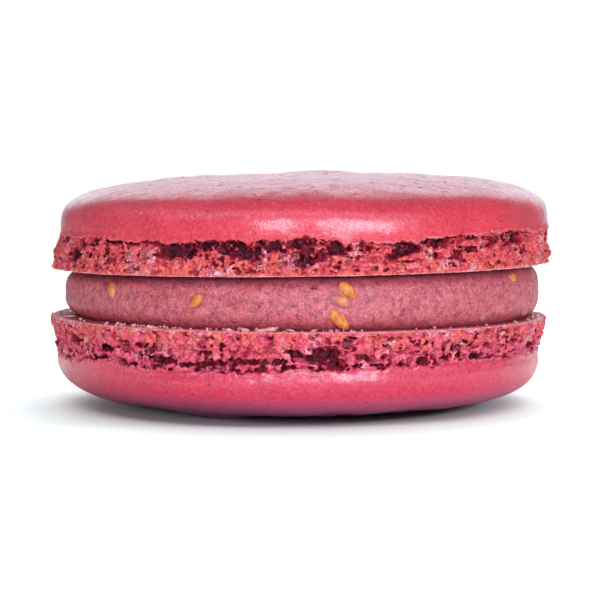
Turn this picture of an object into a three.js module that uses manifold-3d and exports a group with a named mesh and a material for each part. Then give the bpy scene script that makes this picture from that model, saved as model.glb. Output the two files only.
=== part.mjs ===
// A raspberry macaron: two almond meringue shells, each a smooth dome on a craggy foot,
// round a disc of ganache that holds whole raspberry seeds.
// Millimetres, +Z up, the front towards -Y. The origin is on the table under the middle.

import * as THREE from "three";
import { mergeVertices } from "three/addons/utils/BufferGeometryUtils.js";
import Module from "manifold-3d";

const radians = THREE.MathUtils.degToRad;
const degrees = THREE.MathUtils.radToDeg;

// ---------------------------------------------------------------- driving dimensions

const RIM_RADIUS = 23; // a foot at the flat side, its widest place
const WAIST_INSET = 0.75; // how much narrower the foot is just below the dome
const RIM_ROUND = 0.3; // rounding of the foot's sharp outer edge
const LIP_OVERHANG = 0.35; // how far the dome's skin reaches over the foot
const LIP_ROUND = 0.35; // height over which the skin's cut edge turns up into the dome
const LIP_THICKNESS = 0.12; // the skin's cut edge

const RIM_LEVEL_LOWER = 8.16; // height of the lower shell's flat side above the table
const RIM_LEVEL_UPPER = 12.8; // height of the upper shell's flat side above the table
const TILT_LOWER = radians(0.2); // the lower shell leans down to the right
const TILT_UPPER = radians(-0.67); // the upper shell leans up to the right
const LOWER_SHIFT = -0.18; // the lower shell sits this far to the right of the middle
const FILLING_SHIFT = 0.2; // and the ganache this far

const FILLING_RADIUS = 22.05; // the ganache at its belly
const FILLING_BULGE = 0.75; // how far the belly stands out from the top and bottom edges
const BELLY_FLATNESS = 2.6; // a higher power gives a straighter side with rounder edges
const FILLING_GAP = 0.3; // clearance to each shell
const FILLING_SWELL = 0.09; // unevenness of the piped edge
const SWELL_SIZE = 5; // spacing of that unevenness

const SHELL_COLUMNS = 136; // facets round a shell
const FOOT_ROWS = 7; // rows of facets up the foot's wall
const DOME_ROWS = 8; // rows of facets from the lip to the flatter top of the dome
const DOME_CROWDING = [1.6, 0.714]; // powers that crowd those rows towards the shoulder
const CROWN_RADIUS = 2.6; // the ring of corners that carries the peak
const FILLING_COLUMNS = 72;
const FILLING_ROWS = 7;

const LUMP_SIZE = 1.9; // spacing of the foot's lumps
const LUMP_SQUASH = 1.6; // the lumps are this much closer upwards, as the foot rose in layers
const LUMP_DEPTH = 0.3; // how far they stand out or sink in
const RIM_LUMP = 0.4; // share of that at the rim
const LIP_LUMP = 0.3; // and at the lip
const LIP_WANDER = 0.16; // how much the torn lower edge of the skin rises and falls
const CRAG_SIZE = 0.85; // spacing of the broken crumb on the lumps
const CRAG_DEPTH = 0.26;
const WAVE_SIZE = 7; // spacing of the dome's slow unevenness
const WAVE_DEPTH = 0.07;

const SEED_LENGTH = 2.1; // a raspberry seed
const SEED_WIDTH = 1;
const SEED_FLATNESS = 0.83; // its thickness as a share of its width
const SEED_COUNT = 19; // seeds round the edge of the ganache
const SEED_COLUMNS = 5;
const SEED_ROWS = 4;

// Each shell stands on its flat side here: heights run from that side up to the dome.
// bursts are the large holes at the front: [degrees to the right of the front, height,
// width, height of the hole, depth]. The rest are drawn.
const UPPER = {
  footHeight: 3.2,
  lipSlope: 0.002,
  domeShift: 0.42, // the dome sits this far to the right of its foot
  domeRadius: 22.72,
  domeHeight: 5.22,
  domeFlatness: 2.8,
  domeShoulder: 3.5,
  peak: { x: 0.6, y: 1.2, height: 0.3, radius: 2.1 },
  drawFrom: 100,
  bursts: [
    [-63, 2.6, 1.5, 1.0, 0.8],
    [-42, 2.95, 4.6, 0.55, 1.3],
    [-27, 2.2, 2.4, 0.8, 1.1],
    [-21, 2.9, 2.2, 0.55, 1.0],
    [-12, 1.95, 2.1, 0.65, 1.3],
    [2, 2.3, 2.6, 1.5, 1.0],
    [8.6, 2.7, 1.2, 0.7, 1.3],
    [14, 2.6, 2.2, 0.5, 1.1],
    [24, 2.8, 1.9, 0.9, 1.1],
    [32, 1.9, 1.5, 0.55, 0.9],
    [41, 2.35, 1.2, 0.7, 1.1],
    [57.5, 2.9, 1.5, 0.95, 1.0],
  ],
};
const LOWER = {
  footHeight: 3.42,
  lipSlope: -0.012,
  domeShift: 0,
  domeRadius: 22.42,
  domeHeight: 4.9,
  domeFlatness: 3.9,
  domeShoulder: 3.2,
  peak: { x: -6.8, y: -13.6, height: 0.5, radius: 2.4 },
  drawFrom: 200,
  bursts: [
    [-49.5, 2.9, 1.6, 0.7, 0.9],
    [-32, 2.3, 3.4, 0.8, 1.4],
    [-22, 2.9, 2.6, 0.6, 1.1],
    [5, 1.85, 1.5, 1.2, 1.3],
    [8.3, 2.75, 1.4, 0.8, 1.4],
    [16.3, 2.3, 1.4, 0.8, 1.0],
    [28.8, 2.9, 1.5, 0.7, 1.1],
    [44, 2.95, 2.6, 0.6, 1.0],
  ],
};

// Drawn burst bubbles, as [least, most].
const BURST_COUNT = 34; // places for one round a foot
const BURST_BELOW_LIP = [0.35, 1.45];
const BURST_WIDTH = [1.2, 3.4];
const BURST_TALL = [0.5, 1.0];
const BURST_DEEP = [0.7, 1.4];
const BURST_EDGE = 1.2; // a higher power gives a hole with steeper sides

// Seeds at the front: [degrees to the right of the front, height above the table,
// lean of the long axis from upright to the left in degrees, length, how deep it is sunk].
const FRONT_SEEDS = [
  [-48.9, 11.17, 193, 1.6, 0.3],
  [-24.2, 10.58, 135, 1.6, 0.3],
  [8.4, 10.72, 72, 1.9, 0.5],
  [10, 11.58, 226, 2, 0.3],
  [8.1, 9.25, 222, 2.05, 0.3],
  [46.6, 9.1, -8, 1.1, 0.42],
  [59.2, 12.1, 85, 1.5, 0.35],
  [67.8, 9.1, -60, 1.3, 0.45],
  [74, 10.9, -5, 1.3, 0.4],
];

// Drawn seeds, as [least, most]. They share the edge that the front seeds leave.
const SEED_ARC = [95, 262];
const SEED_LEVEL = [9.4, 11.6];
const SEED_LEAN = [0, 180];
const SEED_LENGTHS = [1.4, 2.1];
const SEED_SUNK = [0.2, 0.4];
const SEED_DRAWS_FROM = 700;

// ---------------------------------------------------------------- relief

// A repeatable draw from 0 to 1 for each whole number.
function draw(number) {
  const s = Math.sin(number * 12.9898 + 4.1414) * 43758.5453;
  return s - Math.floor(s);
}

// The same, between two limits.
function drawBetween([least, most], number) {
  return least + (most - least) * draw(number);
}

// Smooth unevenness from -1 to 1: draws at the corners of a unit lattice, blended.
function unevenness(x, y, z) {
  const [strideY, strideZ] = [57, 1013];
  const corner = [x, y, z].map(Math.floor);
  const [u, v, w] = [x - corner[0], y - corner[1], z - corner[2]].map(
    (t) => t * t * (3 - 2 * t),
  );
  let sum = 0;
  for (const a of [0, 1])
    for (const b of [0, 1])
      for (const c of [0, 1]) {
        const share = (a ? u : 1 - u) * (b ? v : 1 - v) * (c ? w : 1 - w);
        const cell = corner[0] + a + strideY * (corner[1] + b) + strideZ * (corner[2] + c);
        sum += share * draw(cell);
      }
  return 2 * sum - 1;
}

// The angle in degrees from one place on the edge to another, from -180 to 180.
function turn(from, to) {
  return ((((to - from + 180) % 360) + 360) % 360) - 180;
}

// ---------------------------------------------------------------- a shell

// All the burst bubbles of a foot: those given, and drawn ones wherever there is room.
function burstsOf(shell) {
  const bursts = [...shell.bursts];
  const pitch = 360 / BURST_COUNT;
  for (let k = 0; k < BURST_COUNT; k++) {
    const from = shell.drawFrom + 10 * k;
    const angle = k * pitch - 180 + drawBetween([-pitch / 2, pitch / 2], from);
    if (shell.bursts.some(([taken]) => Math.abs(turn(taken, angle)) < pitch)) continue;
    bursts.push([
      angle,
      shell.footHeight - drawBetween(BURST_BELOW_LIP, from + 1),
      drawBetween(BURST_WIDTH, from + 2),
      drawBetween(BURST_TALL, from + 3),
      drawBetween(BURST_DEEP, from + 4),
    ]);
  }
  return bursts;
}

// The shell's outline from the middle of its flat side, up the foot and over the dome.
// Each row is [radius, height, kind of surface].
function shellProfile(shell) {
  const rows = [
    [0, 0, "flat"],
    [RIM_RADIUS - 4 * RIM_ROUND, 0, "flat"],
    [RIM_RADIUS - RIM_ROUND, 0, "rim"],
    [RIM_RADIUS, RIM_ROUND, "rim"],
  ];
  const wall = shell.footHeight - 2 * RIM_ROUND;
  for (let i = 1; i <= FOOT_ROWS; i++) {
    const up = i / FOOT_ROWS;
    rows.push([RIM_RADIUS - WAIST_INSET * up, RIM_ROUND + wall * up, "foot"]);
  }
  const underside = shell.footHeight - LIP_THICKNESS / 2;
  rows.push([shell.domeRadius - LIP_OVERHANG, underside, "lip"]);
  rows.push([shell.domeRadius - LIP_THICKNESS / 2, underside + LIP_THICKNESS, "lip"]);
  const [early, late] = DOME_CROWDING;
  for (let i = 0; i < DOME_ROWS; i++) {
    const share = Math.cos((Math.PI / 2) * (i / DOME_ROWS) ** early) ** late;
    rows.push([shell.domeRadius * share, domeLevel(shell, share), "dome"]);
  }
  rows.push([CROWN_RADIUS, domeLevel(shell, CROWN_RADIUS / shell.domeRadius), "dome"]);
  rows.push([0, domeLevel(shell, 0), "dome"]);
  return rows;
}

// Height of the dome at a share of its radius.
function domeLevel(shell, share) {
  const swell = Math.max(0, 1 - share ** shell.domeFlatness) ** (1 / shell.domeShoulder);
  return shell.footHeight + LIP_ROUND + (shell.domeHeight - LIP_ROUND) * swell;
}

// How far the burst bubbles dig in at a place on the foot.
function burstDepth(bursts, angle, height) {
  let depth = 0;
  for (const [at, level, width, tall, deep] of bursts) {
    const along = (radians(turn(at, angle)) * RIM_RADIUS) / (width / 2);
    const above = (height - level) / (tall / 2);
    depth = Math.max(depth, deep * Math.exp(-((along ** 2 + above ** 2) ** BURST_EDGE)));
  }
  return depth;
}

// A shell's solid. seat gives the highest that the dome may reach at a place across.
function shellGeometry(shell, seat) {
  const rows = shellProfile(shell);
  const bursts = burstsOf(shell);
  const geometry = new THREE.LatheGeometry(
    rows.map(([radius, height]) => new THREE.Vector2(radius, height)),
    SHELL_COLUMNS,
  ).rotateX(Math.PI / 2);
  const position = geometry.getAttribute("position");
  const point = new THREE.Vector3();
  for (let i = 0; i < position.count; i++) {
    point.fromBufferAttribute(position, i);
    const kind = rows[i % rows.length][2];
    const { x, y, z } = point;
    const radius = Math.hypot(x, y);
    const lump = unevenness(
      x / LUMP_SIZE,
      y / LUMP_SIZE,
      (LUMP_SQUASH * z) / LUMP_SIZE + shell.drawFrom,
    );
    let outward = 0;
    if (kind === "foot") {
      const crag = unevenness(x / CRAG_SIZE, y / CRAG_SIZE, z / CRAG_SIZE + shell.drawFrom);
      const angle = degrees(Math.atan2(x, -y));
      outward = LUMP_DEPTH * lump + CRAG_DEPTH * crag - burstDepth(bursts, angle, z);
      point.z += (shell.lipSlope * x * z) / shell.footHeight;
    }
    if (kind === "rim") outward = RIM_LUMP * LUMP_DEPTH * lump;
    if (kind === "lip") {
      outward = LIP_LUMP * LUMP_DEPTH * lump;
      point.z += LIP_WANDER * lump + shell.lipSlope * x;
    }
    if (kind === "dome") {
      const wave = unevenness(x / WAVE_SIZE, y / WAVE_SIZE, shell.drawFrom + 0.5);
      const near = Math.hypot(x - shell.peak.x, y - shell.peak.y) / shell.peak.radius;
      const belowTop = (shell.footHeight + shell.domeHeight - z) / shell.domeHeight;
      point.z += WAVE_DEPTH * wave + shell.lipSlope * x * belowTop;
      point.z += shell.peak.height * Math.exp(-(near ** 2));
      point.z = Math.min(point.z, seat(x));
    }
    if (radius > 0) {
      point.x *= (radius + outward) / radius;
      point.y *= (radius + outward) / radius;
    }
    if (kind === "lip" || kind === "dome") point.x += shell.domeShift;
    position.setXYZ(i, point.x, point.y, point.z);
  }
  return closed(geometry);
}

// ---------------------------------------------------------------- the ganache

// Heights of the two flat sides that the ganache lies between, at a place across.
const lowerSide = (x) => RIM_LEVEL_LOWER - x * Math.tan(TILT_LOWER);
const upperSide = (x) => RIM_LEVEL_UPPER - x * Math.tan(TILT_UPPER);

// Radius of the ganache at a share of its thickness, from 0 at the bottom to 1 at the top.
function fillingRadius(share) {
  return FILLING_RADIUS - FILLING_BULGE * Math.abs(2 * share - 1) ** BELLY_FLATNESS;
}

// The disc of ganache, wedged between the two flat sides.
function fillingGeometry() {
  const rows = [new THREE.Vector2(0, 0)];
  for (let i = 0; i <= FILLING_ROWS; i++)
    rows.push(new THREE.Vector2(fillingRadius(i / FILLING_ROWS), i / FILLING_ROWS));
  rows.push(new THREE.Vector2(0, 1));
  const geometry = new THREE.LatheGeometry(rows, FILLING_COLUMNS).rotateX(Math.PI / 2);
  const position = geometry.getAttribute("position");
  for (let i = 0; i < position.count; i++) {
    const [x, y, share] = [position.getX(i), position.getY(i), position.getZ(i)];
    const low = lowerSide(x) + FILLING_GAP;
    const high = upperSide(x) - FILLING_GAP;
    const uneven = unevenness(x / SWELL_SIZE, y / SWELL_SIZE, share);
    const swell = 1 + (FILLING_SWELL * uneven) / FILLING_RADIUS;
    position.setXYZ(i, x * swell, y * swell, low + (high - low) * share);
  }
  return closed(geometry);
}

// Every seed: those at the front, and drawn ones round the rest of the edge.
function seedList() {
  const seeds = [...FRONT_SEEDS];
  const drawn = SEED_COUNT - FRONT_SEEDS.length;
  const pitch = (SEED_ARC[1] - SEED_ARC[0]) / drawn;
  for (let k = 0; k < drawn; k++) {
    const from = SEED_DRAWS_FROM + 10 * k;
    seeds.push([
      SEED_ARC[0] + pitch * (k + draw(from)),
      drawBetween(SEED_LEVEL, from + 1),
      drawBetween(SEED_LEAN, from + 2),
      drawBetween(SEED_LENGTHS, from + 3),
      drawBetween(SEED_SUNK, from + 4),
    ]);
  }
  return seeds;
}

// One seed: a small pointed bean that lies in the ganache's side, sunk by the given depth.
function seedGeometry([angle, height, lean, length, sunk]) {
  const low = lowerSide(0) + FILLING_GAP;
  const share = (height - low) / (upperSide(0) - FILLING_GAP - low);
  const width = SEED_WIDTH * Math.sqrt(length / SEED_LENGTH);
  return new THREE.SphereGeometry(1, SEED_COLUMNS, SEED_ROWS)
    .scale(width / 2, length / 2, (SEED_FLATNESS * width) / 2)
    .rotateZ(radians(lean))
    .rotateX(Math.PI / 2)
    .translate(0, -(fillingRadius(share) + width / 4 - sunk), height)
    .rotateZ(radians(angle));
}

// ---------------------------------------------------------------- solids

// The same surface with its shared corners merged, so that it is one closed skin.
function closed(geometry) {
  geometry.deleteAttribute("normal");
  geometry.deleteAttribute("uv");
  return mergeVertices(geometry, 1e-3);
}

const wasm = await Module();
wasm.setup();

function solidOf(geometry) {
  const mesh = closed(geometry);
  return new wasm.Manifold(
    new wasm.Mesh({
      numProp: 3,
      vertProperties: new Float32Array(mesh.attributes.position.array),
      triVerts: new Uint32Array(mesh.index.array),
    }),
  );
}

// The ganache with its seeds fused to it, as one skin.
function seededFilling() {
  let solid = solidOf(fillingGeometry());
  for (const seed of seedList()) solid = solid.add(solidOf(seedGeometry(seed)));
  const { vertProperties, triVerts } = solid.getMesh();
  return new THREE.BufferGeometry()
    .setAttribute("position", new THREE.BufferAttribute(vertProperties, 3))
    .setIndex(new THREE.BufferAttribute(triVerts, 1));
}

// ---------------------------------------------------------------- the macaron

const MERINGUE = { color: 0xc8385a, roughness: 0.45, metalness: 0 };
const GANACHE = { color: 0xb6606e, roughness: 0.55, metalness: 0 };

function food(name, geometry, finish) {
  const mesh = new THREE.Mesh(geometry, new THREE.MeshStandardMaterial(finish));
  mesh.name = name;
  return mesh;
}

const macaron = new THREE.Group();

// The lower shell is upside down, with its dome pressed flat where it rests on the table.
const seatLevel = (x) => RIM_LEVEL_LOWER / Math.cos(TILT_LOWER) - x * Math.tan(TILT_LOWER);
const lowerShell = food("lower_shell", shellGeometry(LOWER, seatLevel), MERINGUE);
lowerShell.position.set(LOWER_SHIFT, 0, RIM_LEVEL_LOWER);
lowerShell.rotation.y = TILT_LOWER;
lowerShell.scale.z = -1;
macaron.add(lowerShell);

const filling = food("raspberry_filling", seededFilling(), GANACHE);
filling.position.x = FILLING_SHIFT;
macaron.add(filling);

// Nothing presses on the upper shell's dome.
const upperShell = food("upper_shell", shellGeometry(UPPER, () => Infinity), MERINGUE);
upperShell.position.z = RIM_LEVEL_UPPER;
upperShell.rotation.y = TILT_UPPER;
macaron.add(upperShell);

export default macaron;
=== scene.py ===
# %% [markdown]
# # A raspberry macaron
#
# A macaron is two almond meringue shells round a disc of ganache. Each shell has two very
# different surfaces: a satin skin, which dried before baking, and a craggy foot, which
# burst out from under that skin in the oven. The whole lesson is about that contrast:
# one smooth sheet with a torn edge, and one crumb full of burst bubbles.
#
# Everything here is metres when it reaches Blender, but a macaron is easier to think about
# in millimetres, so the shapes are worked out in millimetres and scaled once, when a mesh
# is made. The frame holds the solid model, and its boxes say where each piece belongs.

# %% The frame
import math

import bpy
import numpy as np
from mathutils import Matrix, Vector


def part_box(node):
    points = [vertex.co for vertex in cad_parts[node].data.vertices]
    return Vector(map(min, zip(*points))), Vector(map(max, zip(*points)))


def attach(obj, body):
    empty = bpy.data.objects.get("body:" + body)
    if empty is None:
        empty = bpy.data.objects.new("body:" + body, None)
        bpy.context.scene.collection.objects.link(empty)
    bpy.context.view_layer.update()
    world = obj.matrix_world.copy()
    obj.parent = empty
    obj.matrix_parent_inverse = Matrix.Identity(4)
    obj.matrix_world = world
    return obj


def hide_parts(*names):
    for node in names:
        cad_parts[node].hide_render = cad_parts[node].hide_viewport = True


MM = 0.001  # one millimetre in metres

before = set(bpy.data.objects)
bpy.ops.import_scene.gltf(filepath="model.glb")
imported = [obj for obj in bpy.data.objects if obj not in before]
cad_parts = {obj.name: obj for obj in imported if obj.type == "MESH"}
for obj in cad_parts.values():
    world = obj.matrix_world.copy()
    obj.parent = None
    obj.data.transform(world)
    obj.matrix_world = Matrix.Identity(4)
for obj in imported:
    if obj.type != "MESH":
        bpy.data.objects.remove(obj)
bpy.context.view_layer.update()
low_box = [np.array(corner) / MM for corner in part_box("lower_shell")]
top_box = [np.array(corner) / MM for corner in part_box("upper_shell")]
print("lower shell, mm:", low_box[0].round(2), low_box[1].round(2))
print("upper shell, mm:", top_box[0].round(2), top_box[1].round(2))

# %% [markdown]
# ## The camera
#
# The macaron is seen almost from the side, from a little above its top. A long lens from
# 20 cm away keeps the two rims nearly straight, with just enough perspective to see the
# near edges dip.

# %% The camera
CAMERA_DISTANCE = 207.3 * MM
CAMERA_HEIGHT = 22.8 * MM
CAMERA_PITCH = math.radians(3.70)  # how far it looks down
CAMERA_LENS = 132.6  # mm, on a sensor 36 mm wide

camera_data = bpy.data.cameras.new("camera")
camera_data.lens = CAMERA_LENS
camera_data.sensor_width = 36
camera_data.clip_start = 10 * MM
camera = bpy.data.objects.new("camera", camera_data)
camera.location = (0, -CAMERA_DISTANCE, CAMERA_HEIGHT)
camera.rotation_euler = (math.radians(90) - CAMERA_PITCH, 0, 0)
bpy.context.scene.collection.objects.link(camera)
bpy.context.scene.camera = camera
print("camera at", tuple(round(c, 4) for c in camera.location))

# %% [markdown]
# ## Unevenness
#
# Food has no straight edges. Every bump here comes from two small functions: a draw, which
# gives a repeatable number from 0 to 1, and a smooth unevenness made of draws on a lattice.
# They are worked out for whole arrays at once with numpy, so a million points take a
# moment. The solid model draws its lumps by the same rule, so both have the same crags.


# %% Draws and smooth unevenness
def draw(number):
    """A number from 0 to 1 that looks random but is always the same for the same number."""
    s = np.sin(number * 12.9898 + 4.1414) * 43758.5453
    return s - np.floor(s)


def draw_between(limits, number):
    """The same, from the least to the most of two limits."""
    return limits[0] + (limits[1] - limits[0]) * draw(number)


LATTICE_STRIDES = (57, 1013)


def unevenness(x, y, z):
    """Smooth and repeatable, from -1 to 1, with bumps about one unit apart."""
    x, y, z = np.broadcast_arrays(x, y, z)
    corner = [np.floor(x), np.floor(y), np.floor(z)]
    u, v, w = [t * t * (3 - 2 * t) for t in (x - corner[0], y - corner[1], z - corner[2])]
    total = np.zeros(x.shape)
    for a in (0, 1):
        for b in (0, 1):
            for c in (0, 1):
                share = (u if a else 1 - u) * (v if b else 1 - v) * (w if c else 1 - w)
                cell = corner[0] + a + LATTICE_STRIDES[0] * (corner[1] + b)
                total += share * draw(cell + LATTICE_STRIDES[1] * (corner[2] + c))
    return 2 * total - 1


print("unevenness at one place:", round(float(unevenness(1.5, 2.5, 3.5)), 3))

# %% [markdown]
# ## The two shells in numbers
#
# Both shells are described standing on their flat side, with the dome up. The lower one is
# turned over later. Heights run from the flat side. A hollow is a bubble that burst in the
# foot: where it is round the edge in degrees, how high, how wide and how tall. The solid
# model has the largest of them, and the crumb below has them all. The deepest are cut twice,
# so that they stay empty of crumb.
#
# No macaron is quite round. Each shell also has its own swellings, which rise and fall
# softly round the edge: the lip's waves, flakes that hang from it, and a place where the
# foot bulges or the dome is tucked in.

# %% Sizes of a shell, in millimetres
RIM_RADIUS = 23.0  # the foot at the flat side
WAIST_INSET = 0.75  # how much narrower the foot is just below the dome
RIM_ROUND = 0.3
RIM_EDGE = 0.08  # the crumb's own rim is crisper than the solid model's
LIP_ROUND = 0.35

LUMP_SIZE = 1.9
LUMP_SQUASH = 1.6  # how much flatter the lumps are than wide
LUMP_DEPTH = 0.3
LIP_WANDER = 0.16  # how far the lip follows the lumps up and down
CRAG_SIZE = 0.85
CRAG_DEPTH = 0.26
WAVE_SIZE = 7  # the dome's broad unevenness
WAVE_DEPTH = 0.07

UPPER = {
    "name": "upper",
    "node": "upper_shell",
    "level": 12.8,
    "tilt": math.radians(-0.67),
    "shift": 0,
    "turned_over": False,
    "foot_height": 3.2,
    "lip_slope": 0.002,
    "lip_waves": [(-27, -0.12, 8), (18, -0.32, 9), (50, 0.2, 14)],  # degrees, rise, spread
    "hanging": [(8.6, -0.7, 1.1), (-31, -0.25, 0.8), (-12, -0.3, 1.0), (25, -0.25, 0.9)],
    "foot_bulges": [(88, 0.6, 22)],  # degrees, how far out at the lip, spread
    "dome_tucks": [],
    "dome_shift": 0.42,
    "dome_radius": 22.72,
    "dome_height": 5.22,
    "dome_flatness": 2.8,
    "dome_shoulder": 3.5,
    "lip_roll": (0.02, 0.6, 0.4),  # how far out, height above the lip, spread
    "peak": (1.0, 1.2, 0.3, 2.9),  # across, along, height, radius
    "dent": (0.9, 0.35, 0.12, 0.5),  # degrees, height above the lip, depth, radius
    "draw_from": 100,
    "hollows": [  # degrees, height, width, how tall
        (-63, 1.6, 1.5, 1.3), (-60, 2.6, 1.3, 0.9), (-46, 2.9, 3.0, 0.55), (-40, 3.05, 1.3, 0.85),
        (-35, 2.95, 1.9, 0.5), (-29, 2.4, 1.8, 1.35), (-25.8, 1.9, 1.6, 1.2), (-21.3, 2.75, 2.5, 0.8),
        (-15.5, 2.55, 1.1, 1.0), (-12.5, 2.4, 0.9, 1.25), (-10, 2.0, 1.0, 1.0), (-5.6, 2.6, 1.5, 0.85),
        (0.2, 2.85, 1.5, 0.85), (2.2, 1.6, 1.3, 1.5), (8.1, 2.45, 1.2, 0.85), (12.3, 2.4, 1.9, 0.45),
        (16.5, 2.9, 0.9, 0.3), (20.3, 1.75, 1.0, 0.7), (24, 2.3, 1.9, 1.2), (31.3, 2.6, 2.7, 0.95),
        (32, 1.5, 1.3, 0.45), (36, 3.05, 1.8, 0.35), (36.2, 1.35, 1.1, 0.6), (40, 1.85, 1.0, 0.5),
        (48.5, 2.3, 1.0, 0.6), (57.9, 2.6, 2.7, 1.15), (70.6, 1.0, 1.2, 0.3),
    ],
    "empty": [
        (-11.5, 1.95, 1.5, 0.7), (1.6, 2.9, 2.2, 0.7), (9.0, 2.6, 1.4, 0.75), (14.1, 2.6, 1.3, 0.5),
        (-24.5, 2.7, 1.8, 0.6), (-19, 2.8, 1.4, 0.5), (32, 2.5, 1.6, 0.6), (56, 2.6, 1.6, 0.6),
    ],
}
LOWER = {
    "name": "lower",
    "node": "lower_shell",
    "level": 8.16,
    "tilt": math.radians(0.2),
    "shift": -0.18,
    "turned_over": True,
    "foot_height": 3.42,
    "lip_slope": -0.012,
    "lip_waves": [(-52, -0.3, 8), (-18, 0.2, 20), (48, -0.12, 16)],
    "hanging": [(-14, -0.2, 1.0), (21, -0.25, 1.2)],
    "foot_bulges": [],
    "dome_tucks": [(-88, 0.5, 45)],
    "dome_shift": 0,
    "dome_radius": 22.42,
    "dome_height": 4.9,
    "dome_flatness": 3.9,
    "dome_shoulder": 3.2,
    "lip_roll": (0.11, 0.9, 0.65),
    "peak": (-6.8, -13.6, 0.5, 2.4),
    "dent": (-9.5, 0.3, 0.06, 0.4),
    "draw_from": 200,
    "hollows": [
        (-60.7, 1.4, 1.8, 0.65), (-47, 2.0, 2.0, 0.7), (-37, 1.4, 0.8, 0.45), (-51, 3.05, 1.7, 0.45),
        (-42.7, 2.95, 1.5, 0.5), (-32.8, 2.5, 3.6, 0.7), (-24.6, 2.75, 2.6, 0.5),
        (-17.5, 2.6, 2.6, 0.45), (-11.9, 2.4, 3.0, 0.5), (-5.2, 2.5, 2.8, 0.5), (-2.5, 3.0, 0.6, 0.45),
        (-0.4, 1.75, 0.7, 0.7), (5.3, 2.0, 1.5, 1.3), (8.0, 2.8, 1.6, 0.95), (10.9, 0.7, 0.95, 0.5),
        (12.7, 3.0, 0.6, 0.3), (16.3, 2.4, 1.25, 0.6), (19.1, 1.3, 0.7, 0.25), (19.5, 2.25, 0.55, 0.4),
        (28.9, 2.95, 0.7, 0.75), (34.2, 2.65, 1.0, 0.45), (38.8, 2.7, 1.05, 0.45), (36.7, 1.8, 0.8, 0.6),
        (44.2, 2.8, 1.7, 0.7), (52.2, 0.5, 0.8, 0.2), (57.3, 1.6, 1.7, 0.45),
    ],
    "empty": [
        (5.6, 2.1, 1.6, 1.2), (8.4, 2.75, 1.3, 0.8), (-31, 2.5, 2.4, 0.45), (-21, 2.7, 2.4, 0.35),
        (-12.5, 2.35, 2.0, 0.4), (37.5, 2.5, 1.3, 0.5),
    ],
}
SHELLS = (UPPER, LOWER)

HOLLOW_COUNT = 34  # places round a foot for a drawn one, whose least and most sizes follow
HOLLOW_BELOW_LIP = (0.35, 1.45)
HOLLOW_WIDTH = (1.2, 3.4)
HOLLOW_TALL = (0.5, 1.0)


def turn(start, end):
    """The angle in degrees from one place on the edge to another, from -180 to 180."""
    return (end - start + 180) % 360 - 180


def swellings(places, angle):
    """The sum of soft swellings round the edge: each has degrees, size and spread."""
    return sum(size * np.exp(-((turn(at, angle) / spread) ** 2)) for at, size, spread in places)


def hollows_of(shell):
    """The hollows given for the front, and drawn ones wherever there is room."""
    hollows = list(shell["hollows"])
    pitch = 360 / HOLLOW_COUNT
    for k in range(HOLLOW_COUNT):
        start = shell["draw_from"] + 10 * k
        angle = k * pitch - 180 + draw_between((-pitch / 2, pitch / 2), start)
        if any(abs(turn(taken[0], angle)) < pitch for taken in shell["hollows"]):
            continue
        level = shell["foot_height"] - draw_between(HOLLOW_BELOW_LIP, start + 1)
        width = draw_between(HOLLOW_WIDTH, start + 2)
        hollows.append((angle, level, width, draw_between(HOLLOW_TALL, start + 3)))
    return hollows


for shell in SHELLS:
    print(shell["name"], "shell has", len(hollows_of(shell)), "large hollows")

# %% [markdown]
# ## From a shell's own frame to the macaron
#
# A small turn stands for the tilt, and the lower shell's heights change sign first. When a
# shape is mirrored its faces point inwards, so they are flipped as well.


# %% Making a mesh from points in millimetres
def make_piece(name, points, faces, flip=False):
    """A mesh object from points in millimetres and faces with four corners each."""
    faces = np.asarray(faces, dtype=np.int32)
    if flip:
        faces = faces[:, ::-1]
    corners = faces.shape[1]
    mesh = bpy.data.meshes.new(name)
    mesh.vertices.add(len(points))
    mesh.vertices.foreach_set("co", (np.asarray(points) * MM).astype(np.float32).ravel())
    mesh.loops.add(faces.size)
    mesh.loops.foreach_set("vertex_index", faces.ravel())
    mesh.polygons.add(len(faces))
    mesh.polygons.foreach_set("loop_start", np.arange(0, faces.size, corners, dtype=np.int32))
    mesh.update(calc_edges=True)
    mesh.validate()
    mesh.shade_smooth()
    piece = bpy.data.objects.new(name, mesh)
    bpy.context.scene.collection.objects.link(piece)
    return piece


def place(shell, points):
    """Points of a shell standing on its flat side, moved to where it lies in the macaron."""
    x, y, z = points.T
    if shell["turned_over"]:
        z = -z
    cos, sin = math.cos(shell["tilt"]), math.sin(shell["tilt"])
    across = cos * x + sin * z + shell["shift"]
    return np.stack([across, y, cos * z - sin * x + shell["level"]], axis=1)


def mark(piece, name, values):
    """Stores one number for each vertex, which a material can read by its name."""
    attribute = piece.data.attributes.new(name, "FLOAT", "POINT")
    attribute.data.foreach_set("value", np.asarray(values, dtype=np.float32))


# %% [markdown]
# ## Skinning a crumb
#
# A crumb full of holes can't be turned on a lathe, because the holes undercut. Blender's
# own tools could do it with hundreds of Booleans, which is slow, or with a voxel remesh,
# which rounds everything alike. Here the crumb is a field instead: a number at each point
# of a grid, below zero inside the crumb and above zero outside. Bubbles and grains are
# then simple sums on that grid.
#
# The grid bends round the foot: one axis runs round the edge, one outwards and one up. To
# skin it, each grid cell that the surface passes through gets one corner point, in the
# middle of where the surface cuts the cell's edges. Each grid edge that the surface cuts
# gets one face, between the four cells round it.

# %% Skinning a field
CELL_CORNERS = [(a, b, c) for a in (0, 1) for b in (0, 1) for c in (0, 1)]
CELL_EDGES = [
    (p, q) for p in CELL_CORNERS for q in CELL_CORNERS if q > p and np.abs(np.subtract(p, q)).sum() == 1
]


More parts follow.
